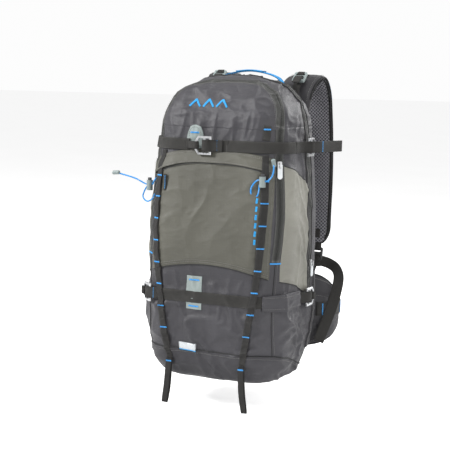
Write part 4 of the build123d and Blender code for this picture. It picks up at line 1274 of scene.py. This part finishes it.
def shoulder_pad(side, tag):
    path, across, out, heading = pad_path(side)
    share = run_of(path) / run_of(path)[-1]
    body = "shoulder_" + tag
    w = np.linspace(-1, 1, 27)
    half = pad_width(share)
    crown = np.sqrt(np.clip(1 - np.abs(w) ** 3.2, 0, 1))
    lumps = 0.5 * (noise(run_of(path)[:, None] / 22, w[None] * 1.4, 31 if side > 0 else 33) - 0.5)
    for name, sign, depth, look, extra in (("outer", 1, 5.4, "pad", 0.0), ("inner", -1, 5.2, "mesh", 0.0)):
        rise = sign * (1.3 + depth * crown[None] + lumps * crown[None])
        if sign < 0:
            quilt = 0.8 * np.abs(np.sin(PI * run_of(path) / 58.0))[:, None] ** 0.35 - 0.8
            rise = rise - quilt * crown[None]
        points = path[:, None] + across[:, None] * (w[None] * half[:, None])[..., None] + out[:, None] * rise[..., None]
        uv = np.stack([np.repeat(run_of(path)[:, None], len(w), 1), w[None] * half[:, None]], -1)
        if sign * side < 0:
            points, uv = points[:, ::-1], uv[:, ::-1]
        made = grid(f"pad_{name}_{tag}", points, uv, LOOK[look], body, "pad_cloth" if sign > 0 else "mesh")
        if sign > 0:
            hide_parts("shoulder_strap_" + tag)
    edge = [path + across * (half * k)[:, None] for k in (-1, 1)]
    loop = np.vstack([edge[0], edge[1][::-1]])
    tube("pad_binding_" + tag, even(loop, 3.0), 2.3, LOOK["binding"], body, sides=8, spline=False)
    for k, name in ((-1, "a"), (1, "b")):
        line = path + across * (k * (half - 3.0))[:, None] - out * 3.6
        sweep(f"pad_edge_{name}_{tag}", line[1:-2], (across - out * 0.5 * k)[1:-2] * side, section_loop(8.5, 1.6),
              LOOK["binding"], body)
        line = path + across * (k * (half - 3.6))[:, None]
        stitches(f"pad_stitch_{name}_{tag}", line[3:-4] + out[3:-4] * 5.6, out[3:-4], LOOK["pale_thread"], body, "bartack")
        stitches(f"pad_stitch_in_{name}_{tag}", line[3:-4] - out[3:-4] * 5.4, -out[3:-4], LOOK["pale_thread"], body, "bartack")
    i = int(0.26 * len(path))
    line = (path + across * (side * (half + 1.4))[:, None] + out * 1.0)[i:i + 9]
    stitches("pad_mark_" + tag, line, (across * side)[i:i + 9], LOOK["blue_thread"], body, "bartack", length=2.8, radius=0.7)
    pad_webbing(side, tag, path, across, out)


def pad_webbing(side, tag, path, across, out):
    """Webbing down the outside of the pad, its bartacks, the lifter loop and the lower keeper."""
    body = "shoulder_" + tag
    share = run_of(path) / run_of(path)[-1]
    lift = 7.6 + 1.2 * np.abs(np.sin(PI * run_of(path) / 42.0)) ** 0.8
    line = path + out * lift[:, None]
    part = slice(int(0.24 * len(path)), int(0.985 * len(path)))
    sweep("pad_webbing_" + tag, line[part], across[part] * side, section_loop(18, 1.6), LOOK["webbing"], body)
    run = run_of(path)
    for k, at in enumerate(np.arange(run[-1] * 0.27, run[-1] * 0.97, 42.0)):
        i = int(np.argmin(np.abs(run - at)))
        spot = np.array([path[i] + out[i] * 8.9 + across[i] * t for t in np.linspace(-8.5, 8.5, 9)])
        stitches(f"pad_tack_{tag}_{k}", spot, np.repeat(out[i:i + 1], 9, 0), LOOK["blue_thread"], body, "bartack",
                 length=2.6, pitch=0.8, radius=0.45, turn=True)
    i = int(0.17 * len(path))
    origin, _, n = path[i], across[i], out[i]
    upper = np.array((81.0 * side, 105.5, 542.6))
    loop = [path[i + 4] + n * 6.8, upper + (0, 3.4, -1.6), upper + (0, 2.4, 3.0), upper + (0, -2.2, 1.0),
            upper + (0, -1.8, -3.0), path[i + 3] + n * 6.6]
    ribbon("lifter_loop_" + tag, loop, (1, 0, 0), 13, 1.4, LOOK["webbing"], body)
    end = path[-1]
    low = np.array((106.5 * side, 140.9, 220.7))
    loop = [end + (0, 5.5, 26), end + (0, 4.6, 4), low + (0, 3.2, 2.5), low + (0, 2.9, -2.6), low + (0, -2.9, -2.6),
            low + (0, -3.4, 2.5), end + (0, -4.4, 4), end + (0, -5.0, 26)]
    ribbon("ladder_loop_" + tag, loop, (1, 0, 0), 20, 1.5, LOOK["webbing"], body)


def lower_webbing(side, tag):
    """One webbing from the pack's lower corner, through the ladder lock, to a folded tail."""
    body = "shoulder_" + tag
    lock = np.array((106.5, 138.5, 211.0))
    up = np.array((0, 0.24, 0.97))
    out = np.array((0, 0.97, -0.24))
    rise = [(78, 69, 24), (80, 77, 33), (86, 96, 62), (92, 110, 118), (102, 130, 184), lock - up * 13 - out * 3.4,
            lock - up * 5.6 - out * 3.3, lock - up * 2.4 + out * 0.4]
    turn = [lock + up * 0.2 + out * 3.6, lock - up * 5 + out * 5.4, lock - up * 13 + out * 7.6]
    tail = [(117, 150, 196), (132, 154, 191), (146, 149, 183), (155, 138, 167), (156, 118, 136), (152, 100, 104),
            (146, 83, 74), (143, 75, 60)]
    points = curve(np.array(rise + turn + tail, float), 2.5)
    heading = tangents(points)
    low = run_of(points) < run_of(points)[int(np.argmin(np.linalg.norm(points - turn[2], axis=1)))]
    share = step(run_of(points), 230, 400)[:, None]
    face = np.array((0, 1.0, 0)) * (1 - share) + np.array((-0.42, 0.9, -0.1)) * share
    across = np.where(low[:, None], (1.0, 0, 0), unit(np.cross(heading, face))) * (side, 1, 1) * side
    points = points * (side, 1, 1)
    heading = tangents(points)
    bend = (body, "ladder_" + tag, (0.102 * side, 0.126, 0.155), (0.106 * side, 0.137, 0.200))
    strap = sweep("lower_strap_" + tag, points, across, section_loop(20, 1.6), LOOK["webbing"], bend)
    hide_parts("lower_webbing_" + tag)
    end = points[-14:]
    normal = np.cross(across[-14:], heading[-14:])
    sweep("tail_hem_" + tag, end + normal * 1.7, across[-14:], section_loop(20, 1.5), LOOK["webbing"], body)
    spot = np.array([end[2] + normal[2] * 2.7 + across[-12] * q for q in np.linspace(-9, 9, 9)])
    stitches("tail_stitch_" + tag, spot, np.repeat(normal[2:3], 9, 0), LOOK["blue_thread"], body, "bartack",
             length=2.0, pitch=2.3, radius=0.4)


def yoke():
    """The padded yoke the shoulder pads are sewn into, and its lifter webbings."""
    for side, tag in ((1, "right"), (-1, "left")):
        base = np.array([(70, 76.5, 428), (71, 80, 452), (72, 88, 476), (73, 95, 497)], float) * (side, 1, 1)
        path = curve(base, 4)
        heading = tangents(path)
        across = unit(np.array((1.0, 0, 0)) - heading * heading[:, :1])
        w = np.linspace(0, 2 * PI, 28, endpoint=False)
        ring = np.stack([33 * np.sign(np.cos(w)) * np.abs(np.cos(w)) ** 0.55, 7.6 * np.sign(np.sin(w)) * np.abs(np.sin(w)) ** 0.8], -1)
        size = np.sqrt(np.clip(np.linspace(0.35, 1.0, len(path)), 0, 1))
        out = np.cross(across, heading)
        points = (path[:, None] + across[:, None] * ring[None, :, :1]
                  + out[:, None] * (ring[None, :, 1:] * size[:, None, None]))
        uv = np.stack([np.repeat(run_of(path)[:, None], 28, 1), np.repeat(ring[None, :, 0], len(path), 0)], -1)
        grid("yoke_" + tag, points, uv, LOOK["pad"], "pack", "pad_cloth", close_cols=True)
        strap = [(80, 72.5, 470), (80, 72.8, 488), (80, 74.5, 500), (80, 83, 516), (80.6, 91, 526.5),
                 (81, 97.4, 530.2), (81, 99.2, 534.6), (81, 96, 538.6), (80.6, 88, 534.5), (80, 80, 527)]
        made = ribbon("lifter_webbing_" + tag, np.array(strap, float) * (side, 1, 1), (side, 0, 0), 15, 1.5,
                      LOOK["webbing"], "pack")
        if side > 0:
            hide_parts("lifter_webbing")


def haul_loop():
    """The blue webbing loop at the top of the back, doubled at its middle."""
    line = [(-70, 66, 512), (-64, 63, 522), (-54, 62, 534), (-30, 62, 542), (0, 62, 545), (30, 62, 542), (54, 62, 534),
            (64, 63, 522), (70, 66, 512)]
    loop = ribbon("haul_webbing", line, (0, 1, 0), 17, 2.0, LOOK["blue_webbing"], "haul_loop")
    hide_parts("haul_loop")
    grip = [(-26, 62, 544.4), (0, 62, 546.8), (26, 62, 544.4)]
    ribbon("haul_grip", grip, (0, 1, 0), 18.5, 2.4, LOOK["blue_webbing"], "haul_loop")
    for k in (-1, 1):
        spot = np.array([(27 * k, 62 + q, 545.4) for q in np.linspace(-8, 8, 8)])
        stitches(f"haul_stitch_{k + 1}", spot, np.tile((0.15 * k, 0, 1.0), (8, 1)), LOOK["thread"], "haul_loop", "bartack",
                 length=2.2, pitch=2.3, radius=0.4)


def sternum_strap(side, tag):
    """A slider on the pad's webbing, and the short strap out to the buckle."""
    body = "sternum_" + tag
    y = 168.0
    rail = [(97 * side, y + 1.2, 402), (84 * side, y + 2.6, 402), (70 * side, y + 3.4, 402), (50 * side, y + 2.4, 402),
            (36 * side, y + 2.2, 402)]
    strap = ribbon("sternum_webbing_" + tag, rail, (0, 0, side), 18, 1.6, LOOK["webbing"], body)
    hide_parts("sternum_strap_" + tag)
    frame_ring = section_loop(3.2, 4.2)
    path = [(78, y, 394), (97, y, 394), (99, y, 396), (99, y, 408), (97, y, 410), (78, y, 410), (76, y, 408), (76, y, 396), (78, y, 394)]
    path = even(np.array(path, float) * (side, 1, 1), 1.2)
    middle = path.mean(0)
    across = unit(path - middle)
    sweep("sternum_slider_" + tag, path, across * side, frame_ring, LOOK["buckle"], body)
    spot = np.array([(60 * side, y + 4.2, 402 + q) for q in np.linspace(-8, 8, 9)])
    stitches("sternum_stitch_" + tag, spot, np.tile((0, 1.0, 0), (9, 1)), LOOK["blue_thread"], body, "bartack",
             length=2.0, pitch=2.2, radius=0.4)


# --------------------------------------------------------------------- hip belt
WING = [(108, 87), (122, 93), (136, 107), (144, 134), (141, 167), (129, 200)]


def wing_edges(y):
    top = np.interp(y, (82, 100, 120, 140, 160, 185, 215), (184, 176, 164, 150, 141, 135, 131))
    low = np.interp(y, (82, 215), (47, 83))
    return low, top


def hip_wing(side, tag):
    """A padded wing: cloth outside, mesh inside, bound edges and a sewn channel."""
    body = "hip_" + tag
    path = curve(np.array(WING, float), 3.5)
    heading = tangents(path)
    normal = np.stack([heading[:, 1], -heading[:, 0]], -1)
    low, top = wing_edges(path[:, 1])
    run = run_of(path)
    tip = np.sqrt(np.clip(1 - np.clip((run - run[-1] + 14) / 14, 0, 1) ** 2 * 0.55, 0, 1))
    middle, half = (low + top) / 2, (top - low) / 2 * tip
    h = np.linspace(-1, 1, 33)
    z = middle[:, None] + half[:, None] * h[None]
    crown = np.sqrt(np.clip(1 - np.abs(h) ** 4, 0, 1))[None] * np.sqrt(np.clip(1 - (run / run[-1] * 2 - 1) ** 10, 0.0, 1))[:, None]
    channel = 1 - 0.5 * np.exp(-((h - 0.42) / 0.05) ** 2) - 0.5 * np.exp(-((h + 0.42) / 0.05) ** 2)
    for name, sign, depth, look in (("outer", 1, 4.9, "pad"), ("inner", -1, 4.9, "mesh")):
        rise = sign * (1.0 + depth * crown * (channel[None] if sign > 0 else channel[None])
                       + 0.5 * (noise(run[:, None] / 16, z / 16, 40 + sign) - 0.5) * crown)
        xy = path[:, None] + normal[:, None] * rise[..., None]
        points = np.stack([xy[..., 0] * side, xy[..., 1], z], -1)
        uv = np.stack([np.repeat(run[:, None], len(h), 1), z], -1)
        if sign * side < 0:
            points, uv = points[:, ::-1], uv[:, ::-1]
        made = grid(f"wing_{name}_{tag}", points, uv, LOOK[look], body, "pad_cloth" if sign > 0 else "mesh")
        if sign > 0:
            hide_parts("hip_wing_" + tag)
    rim = [np.stack([path[:, 0] * side, path[:, 1], middle + half * k], -1) for k in (-1, 1)]
    loop = np.vstack([rim[0], rim[1][::-1], rim[0][:1]])
    tube("wing_binding_" + tag, even(loop, 3.0), 2.2, LOOK["binding"], body, sides=8, spline=False)
    out3 = np.stack([normal[:, 0] * side, normal[:, 1], np.zeros(len(path))], -1)
    for k in (-0.42, 0.42, -0.9, 0.9):
        line = np.stack([path[:, 0] * side, path[:, 1], middle + half * k], -1)
        lift = 3.9 if abs(k) < 0.5 else 4.4
        stitches(f"wing_stitch_{tag}_{'m' if k < 0 else 'p'}{int(abs(k) * 100)}", (line + out3 * lift)[4:-4], out3[4:-4],
                 LOOK["pale_thread"], body, "bartack")
    belt_on_wing(side, tag, path, out3, middle)


def belt_on_wing(side, tag, path, out3, middle):
    """The belt webbing sewn along the outside of the wing."""
    body = "hip_" + tag
    z = np.interp(path[:, 1], (90, 150, 205), (116, 112, 107))
    line = np.stack([path[:, 0] * side, path[:, 1], z], -1) + out3 * 7.2
    tip = line[-1] + (-3 * side, 5, 0)
    line = np.vstack([line[6:], tip])
    sweep("wing_webbing_" + tag, line, np.tile((0, 0, 1.0), (len(line), 1)) * side, section_loop(25, 1.7), LOOK["webbing"],
          body)
    for k, i in enumerate((3, 12, 21, len(line) - 6)):
        spot = np.array([line[i] + out3[min(i + 6, len(out3) - 1)] * 1.1 + (0, 0, q) for q in np.linspace(-11, 11, 10)])
        stitches(f"wing_tack_{tag}_{k}", spot, np.repeat(out3[min(i + 6, len(out3) - 1)][None], 10, 0), LOOK["blue_thread"],
                 body, "bartack", length=2.4, pitch=0.9, radius=0.42, turn=True)


def hip_strap(side, tag):
    """Belt webbing from the wing's tip to its buckle half."""
    line = [(128, 206), (121, 219), (108, 234), (88, 247), (66, 253), (52 if side > 0 else 55, 254)]
    points = [(x * side, y, 107) for x, y in line]
    strap = ribbon("hip_strap_" + tag, points, (0, 0, side), 25, 1.7, LOOK["webbing"], "belt_" + tag)
    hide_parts("hip_webbing_" + tag)
    tail = [(62 * side, 256.2, 107), (80 * side, 252.8, 107), (97 * side, 244.6, 107), (108 * side, 237.4, 107)]
    ribbon("hip_tail_" + tag, tail, (0, 0, side), 24, 1.6, LOOK["webbing"], "belt_" + tag)
    ring = [(95.5, 244.6, 93), (92, 250.4, 93), (92, 250.4, 121), (95.5, 244.6, 121)]


# ------------------------------------------------------------------- back panel
def cushion(name, x, z, width, height, depth, y=80.0, corner=0.22, body="pack"):
    """A crowned pad whose sides pull in at its seam, swollen by a cloth simulation."""
    rows, cols = 44, 34
    a, b = np.meshgrid(np.linspace(-1, 1, cols), np.linspace(-1, 1, rows))
    pinch = 1 - corner * (a * b) ** 4
    px, pz = x + a * width / 2 * pinch * (1 - 0.03 * (1 - b * b)), z + b * height / 2 * pinch * (1 - 0.02 * (1 - a * a))
    rise = (np.clip(1 - np.abs(a) ** 5, 0, 1) * np.clip(1 - np.abs(b) ** 7, 0, 1)) ** 0.5
    front = np.stack([px, y + 2.0 + (depth - 3.0) * rise, pz], -1)
    back = np.stack([px, y + 1.0 + 0 * rise, pz], -1)
    count = rows * cols
    verts = np.vstack([front.reshape(-1, 3), back.reshape(-1, 3)])
    faces = [tuple(reversed(f)) for f in grid_faces(rows, cols)]
    faces += [tuple(k + count for k in f) for f in grid_faces(rows, cols)]
    rim = ([j for j in range(cols)] + [i * cols + cols - 1 for i in range(1, rows)]
           + [(rows - 1) * cols + j for j in range(cols - 2, -1, -1)] + [i * cols for i in range(rows - 2, 0, -1)])
    for p, q in zip(rim, rim[1:] + rim[:1]):
        faces.append((p, q, q + count, p + count))
    obj = make_mesh(name, verts, faces)
    inflate(obj, 3.0)
    plan_uv(obj)
    edge = np.array([front.reshape(-1, 3)[k] for k in rim + rim[:1]])
    tube(name + "_piping", even(edge + (0, -0.4, 0), 3.0), 1.5, LOOK["binding"], body, sides=8, spline=False)
    return dress(obj, LOOK["back_mesh"], body)


def inflate(obj, cap):
    """Swells a closed mesh with a short cloth simulation. No point moves further than cap."""
    bpy.context.view_layer.objects.active = obj
    remesh = obj.modifiers.new("remesh", "REMESH")
    remesh.mode, remesh.voxel_size = "VOXEL", 4.0 * MM
    apply_all(obj)
    before = np.empty(len(obj.data.vertices) * 3)
    obj.data.vertices.foreach_get("co", before)
    cloth = obj.modifiers.new("cloth", "CLOTH")
    cloth.settings.use_pressure = True
    cloth.settings.uniform_pressure_force = 4.0
    cloth.settings.effector_weights.gravity = 0.0
    for number in range(1, 15):
        bpy.context.scene.frame_set(number)
    apply_all(obj)
    bpy.context.scene.frame_set(1)
    after = np.empty_like(before)
    obj.data.vertices.foreach_get("co", after)
    move = (after - before).reshape(-1, 3)
    far = np.linalg.norm(move, axis=1, keepdims=True)
    move *= np.minimum(1.0, cap * MM / np.maximum(far, 1e-9))
    obj.data.vertices.foreach_set("co", (before.reshape(-1, 3) + move).ravel())
    obj.modifiers.new("smooth", "SUBSURF").levels = 1
    apply_all(obj)
    obj.data.polygons.foreach_set("use_smooth", [True] * len(obj.data.polygons))
    obj.data.update()


def apply_all(obj):
    dg = bpy.context.evaluated_depsgraph_get()
    made = bpy.data.meshes.new_from_object(obj.evaluated_get(dg), depsgraph=dg)
    obj.modifiers.clear()
    obj.data = made


def plan_uv(obj):
    """Cloth coordinates for a pad: across and up."""
    data = obj.data
    co = np.empty(len(data.vertices) * 3)
    data.vertices.foreach_get("co", co)
    loops = np.empty(len(data.loops), int)
    data.loops.foreach_get("vertex_index", loops)
    layer_uv = data.uv_layers.get("UVMap") or data.uv_layers.new(name="UVMap")
    layer_uv.data.foreach_set("uv", co.reshape(-1, 3)[loops][:, [0, 2]].ravel())


def back_panel():
    """Mesh-covered back with two long pads and a lumbar pad."""
    v = np.linspace(56, 470, 90)[:, None]
    share = spread(90)[None]
    wide = s_of_y(60.0, v)
    s = wide + share * 2 * (half_girth(v) - wide)
    lift = rolled(90, 90, 1.0)
    s2 = np.where(s > half_girth(v), s - 2 * half_girth(v), s)
    points = on_bag(s2, np.broadcast_to(v, s.shape), lift)
    grid("back_mesh_panel", points, np.stack([s, np.broadcast_to(v, s.shape)], -1), LOOK["back_mesh"], "pack", "mesh")
    pads = cushion("back_pad_right", 56, 318, 76, 250, 13)
    cushion("back_pad_left", -56, 318, 76, 250, 13)
    cushion("back_pad_lumbar", 0, 122, 176, 96, 15)
    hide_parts("back_pads")
    for side, tag in ((1, "right"), (-1, "left")):
        root = [(side * s, v) for s, v in ((float(s_of_y(56, 60)), 60), (float(s_of_y(60, 120)), 120), (float(s_of_y(60, 178)), 178))]
        edges = [np.array(e) * (side, 1) for e in (
            [(float(s_of_y(44, 52)), 52), (float(s_of_y(79, 50)) + 14, 50)],
            [(float(s_of_y(79, 50)) + 14, 50), (float(s_of_y(79, 178)) + 14, 178)],
            [(float(s_of_y(54, 196)), 196), (float(s_of_y(79, 178)) + 14, 178)],
            [(float(s_of_y(44, 52)), 52), (float(s_of_y(50, 120)), 120), (float(s_of_y(54, 196)), 196)])]
        panel("wing_root_" + tag, edges, 30, 40, 2.6, LOOK["pad"], "pack", "pad_cloth")
        seam("wing_root_stitch_" + tag, np.array([(float(s_of_y(48, z)), z) for z in (58, 110, 150, 190)]) * (side, 1),
             lift=2.9, material=LOOK["pale_thread"])
        wrap = np.array([(126, 72), (122, 82), (115, 88), (107, 89)], float)
        wrap = curve(wrap, 3)
        h = np.linspace(-1, 1, 24)
        low, top = 52 + 0 * wrap[:, :1], 188 - 0.2 * np.arange(len(wrap))[:, None]
        z = (low + top) / 2 + (top - low) / 2 * h[None]
        points = np.stack([np.repeat(wrap[:, :1], 24, 1) * side, np.repeat(wrap[:, 1:], 24, 1), z], -1)
        made = make_mesh("wing_join_" + tag, points, grid_faces(*points.shape[:2]), points[..., 1:])
        made.data.materials.append(LOOK["pad"])
        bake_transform(made)
        thicken(made, 3.0, 0.0)


def inside():
    """The sleeve inside the bag: a soft open pocket against the back."""
    x = np.linspace(-80, 80, 40)
    z = np.linspace(120, 340, 40)
    xx, zz = np.meshgrid(x, z)
    belly = 4.0 * np.cos(xx / 80 * PI / 2) ** 0.7 * (0.4 + 0.6 * (zz - 120) / 220)
    points = np.stack([xx, 56.5 - belly, zz], -1)
    sleeve = grid("inner_sleeve", points, points[..., [0, 2]], LOOK["lining"], "pack", "dome_cloth")
    thicken(sleeve, 1.0)
    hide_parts("hydration_sleeve")
    hem = [(-80, 56.4, 340), (-40, 53.4, 340), (0, 52.5, 340), (40, 53.4, 340), (80, 56.4, 340)]
    tube("inner_sleeve_hem", hem, 1.2, LOOK["binding"], "pack")


# ------------------------------------------------------------- cords, pulls, loops
def axe_cords():
    """Elastic cords through their locks, and the hanging webbing loops."""
    right = [(84, -96.5, 331), (79, -99, 338), (80, -101, 350), (90, -101.2, 362), (100, -101, 362), (109, -101, 362),
             (116, -97, 371), (115.5, -90, 383), (113.8, -87, 390)]
    made = tube("axe_cord_right", right, 1.35, LOOK["cord"], "pack")
    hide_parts("axe_cords")
    tube("axe_cord_right_back", [(84, -96.5, 331), (91, -99, 337), (93.6, -100.4, 346), (94.6, -101, 356)], 1.3, LOOK["cord"],
         "pack")
    left = [(-112, -84, 354), (-119, -80, 347), (-124, -74, 341.5), (-131, -73, 341), (-140, -73, 341), (-160, -76, 350), (-191, -78, 357)]
    tube("axe_cord_left", left, 1.35, LOOK["cord"], "pack")
    tube("axe_cord_left_loop", [(-134, -73, 339.6), (-139.5, -75, 330), (-141, -79, 318), (-130, -84, 311), (-118, -87, 316),
                                (-113, -86, 326)], 1.3, LOOK["cord"], "pack")
    for side, tag in ((1, "right"), (-1, "left")):
        top, low = 44, -44
        path = [(70, -99.4, 44), (70.6, -99.0, 20), (72.5, -98.6, -10), (76.4, -98.6, -36), (77.6, -100.8, -43.6), (76.8, -103.0, -36),
                (73, -104.4, -10), (71, -104.0, 18), (70, -102.4, 37)]
        path = np.array(path, float) * (side, 1, 1)
        loop = ribbon("axe_loop_webbing_" + tag, path, (side, 0, 0), 11, 1.6, LOOK["narrow"], "axe_loop_" + tag)
        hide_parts("axe_loop_" + tag)
        spot = np.array([((70 + q) * side, -103.6, 33) for q in np.linspace(-5.4, 5.4, 9)])
        stitches("axe_loop_tack_" + tag, spot, np.tile((0, -1.0, 0), (9, 1)), LOOK["blue_thread"], "axe_loop_" + tag, "bartack",
                 length=2.8, pitch=0.75, radius=0.5, turn=True)
    half, front, _, radius = cad_row(349)
    c, s = math.cos(math.radians(-79)), math.sin(math.radians(-79))
    spot = np.array((-(half - radius + (radius + 10.2) * c), front + radius + (radius + 10.2) * s, 0))
    pull = [spot + (0, 0, z) for z in (363, 356, 348, 340, 334.5)]
    tab = ribbon("pocket_pull_tab", pull, (1, 0, 0), 6, 2.2, LOOK["webbing"], "pocket_pull")
    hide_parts("pocket_zip_pull")
    line = np.array([spot + (0.2, -1.3, z) for z in np.linspace(337, 360, 8)])
    stitches("pocket_pull_line", line, np.tile((0, -1.0, 0), (8, 1)), LOOK["blue_thread"], "pocket_pull", "bartack", radius=0.6)


def lock_springs():
    """The two coil springs, each pressed flat by its button."""
    for x, y, z, tag in ((100, -101, 362, "right"), (-131, -73, 341, "left")):
        turn = np.linspace(0, 3 * 2 * PI, 61)
        coil = np.stack([x + 2.6 * np.cos(turn), y + 2.6 * np.sin(turn), z - 8.8 + 4.5 * turn / turn[-1]], -1)
        spring = tube("lock_spring_" + tag, coil, 0.4, LOOK["spring"], "pack", sides=8, spline=False)
        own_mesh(spring)
        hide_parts("cord_springs")


# --------------------------------------------------------------- camera and light
def studio():
    """A plain pale floor below the hanging loops, soft lights and a white surround."""
    size = 30.0
    data = bpy.data.meshes.new("floor")
    rows = [(-size, -size), (size, -size), (size, size), (-size, size)]
    data.from_pydata([(x, y, -0.048) for x, y in rows], [], [(0, 1, 2, 3)])
    floor = bpy.data.objects.new("floor", data)
    bpy.context.scene.collection.objects.link(floor)
    m = Shader("floor")
    m.set("Base Color", m.mix(m.between(m.cloud(3, 2), 0.3, 0.7), (0.84, 0.84, 0.84, 1), (0.88, 0.88, 0.88, 1)))
    m.set("Roughness", 0.9)
    m.set("Emission Color", (1, 1, 1, 1))
    m.set("Emission Strength", m.maths("MULTIPLY", m.add("ShaderNodeLightPath").outputs["Is Camera Ray"], 0.56))
    data.materials.append(m.material)
    world = bpy.data.worlds.new("world")
    bpy.context.scene.world = world
    world.use_nodes = True
    tree = world.node_tree
    seen = tree.nodes.new("ShaderNodeLightPath").outputs["Is Camera Ray"]
    shade = tree.nodes.new("ShaderNodeMapRange")
    tree.links.new(seen, shade.inputs["Value"])
    shade.inputs["To Min"].default_value, shade.inputs["To Max"].default_value = 0.42, 0.98
    tree.links.new(shade.outputs[0], tree.nodes["Background"].inputs[1])
    tree.nodes["Background"].inputs[0].default_value = (1, 1, 1, 1)
    bpy.context.scene.view_settings.view_transform = "Standard"
    for name, place, power, width in (("key", (-1.7, -1.3, 1.6), 74, 0.6), ("fill", (2.0, -1.5, 1.0), 30, 0.9),
                                      ("top", (0.3, 0.2, 2.4), 26, 1.0), ("rim", (1.2, 2.2, 1.4), 40, 1.2)):
        light = bpy.data.lights.new(name, "AREA")
        light.energy, light.size = power, width
        lamp = bpy.data.objects.new(name, light)
        lamp.location = place
        lamp.rotation_euler = (Vector((0, 0, 0.25)) - Vector(place)).to_track_quat("-Z", "Y").to_euler()
        bpy.context.scene.collection.objects.link(lamp)


def camera():
    azimuth, elevation, roll, distance = math.radians(25), math.radians(7), math.radians(-1.5), 2.3
    back = Vector((math.sin(azimuth) * math.cos(elevation), -math.cos(azimuth) * math.cos(elevation), math.sin(elevation)))
    right = Vector((math.cos(azimuth), math.sin(azimuth), 0))
    up = back.cross(right)
    up, right = up * math.cos(roll) + right * math.sin(roll), right * math.cos(roll) - up * math.sin(roll)
    data = bpy.data.cameras.new("camera")
    data.lens, data.sensor_width = 102.8, 36
    data.shift_x, data.shift_y = -0.0116, 0.0071
    data.clip_start, data.clip_end = 0.05, 30
    cam = bpy.data.objects.new("camera", data)
    turn = Matrix((right, up, back)).transposed()
    cam.matrix_world = Matrix.Translation(Vector((0, -0.010, 0.265)) + back * distance) @ turn.to_4x4()
    bpy.context.scene.collection.objects.link(cam)
    bpy.context.scene.camera = cam


bag_cloth()
flap_cloth()
zips()
base_cloth()
front_pocket()
pocket_flap()
side_panels()
seams_of_the_bag()
daisy_chains()
upper_strap()
lower_strap()
small_labels()
for side, tag in ((1, "right"), (-1, "left")):
    shoulder_pad(side, tag)
    lower_webbing(side, tag)
    sternum_strap(side, tag)
    hip_wing(side, tag)
    hip_strap(side, tag)
yoke()
haul_loop()
back_panel()
inside()
axe_cords()
lock_springs()
studio()
camera()
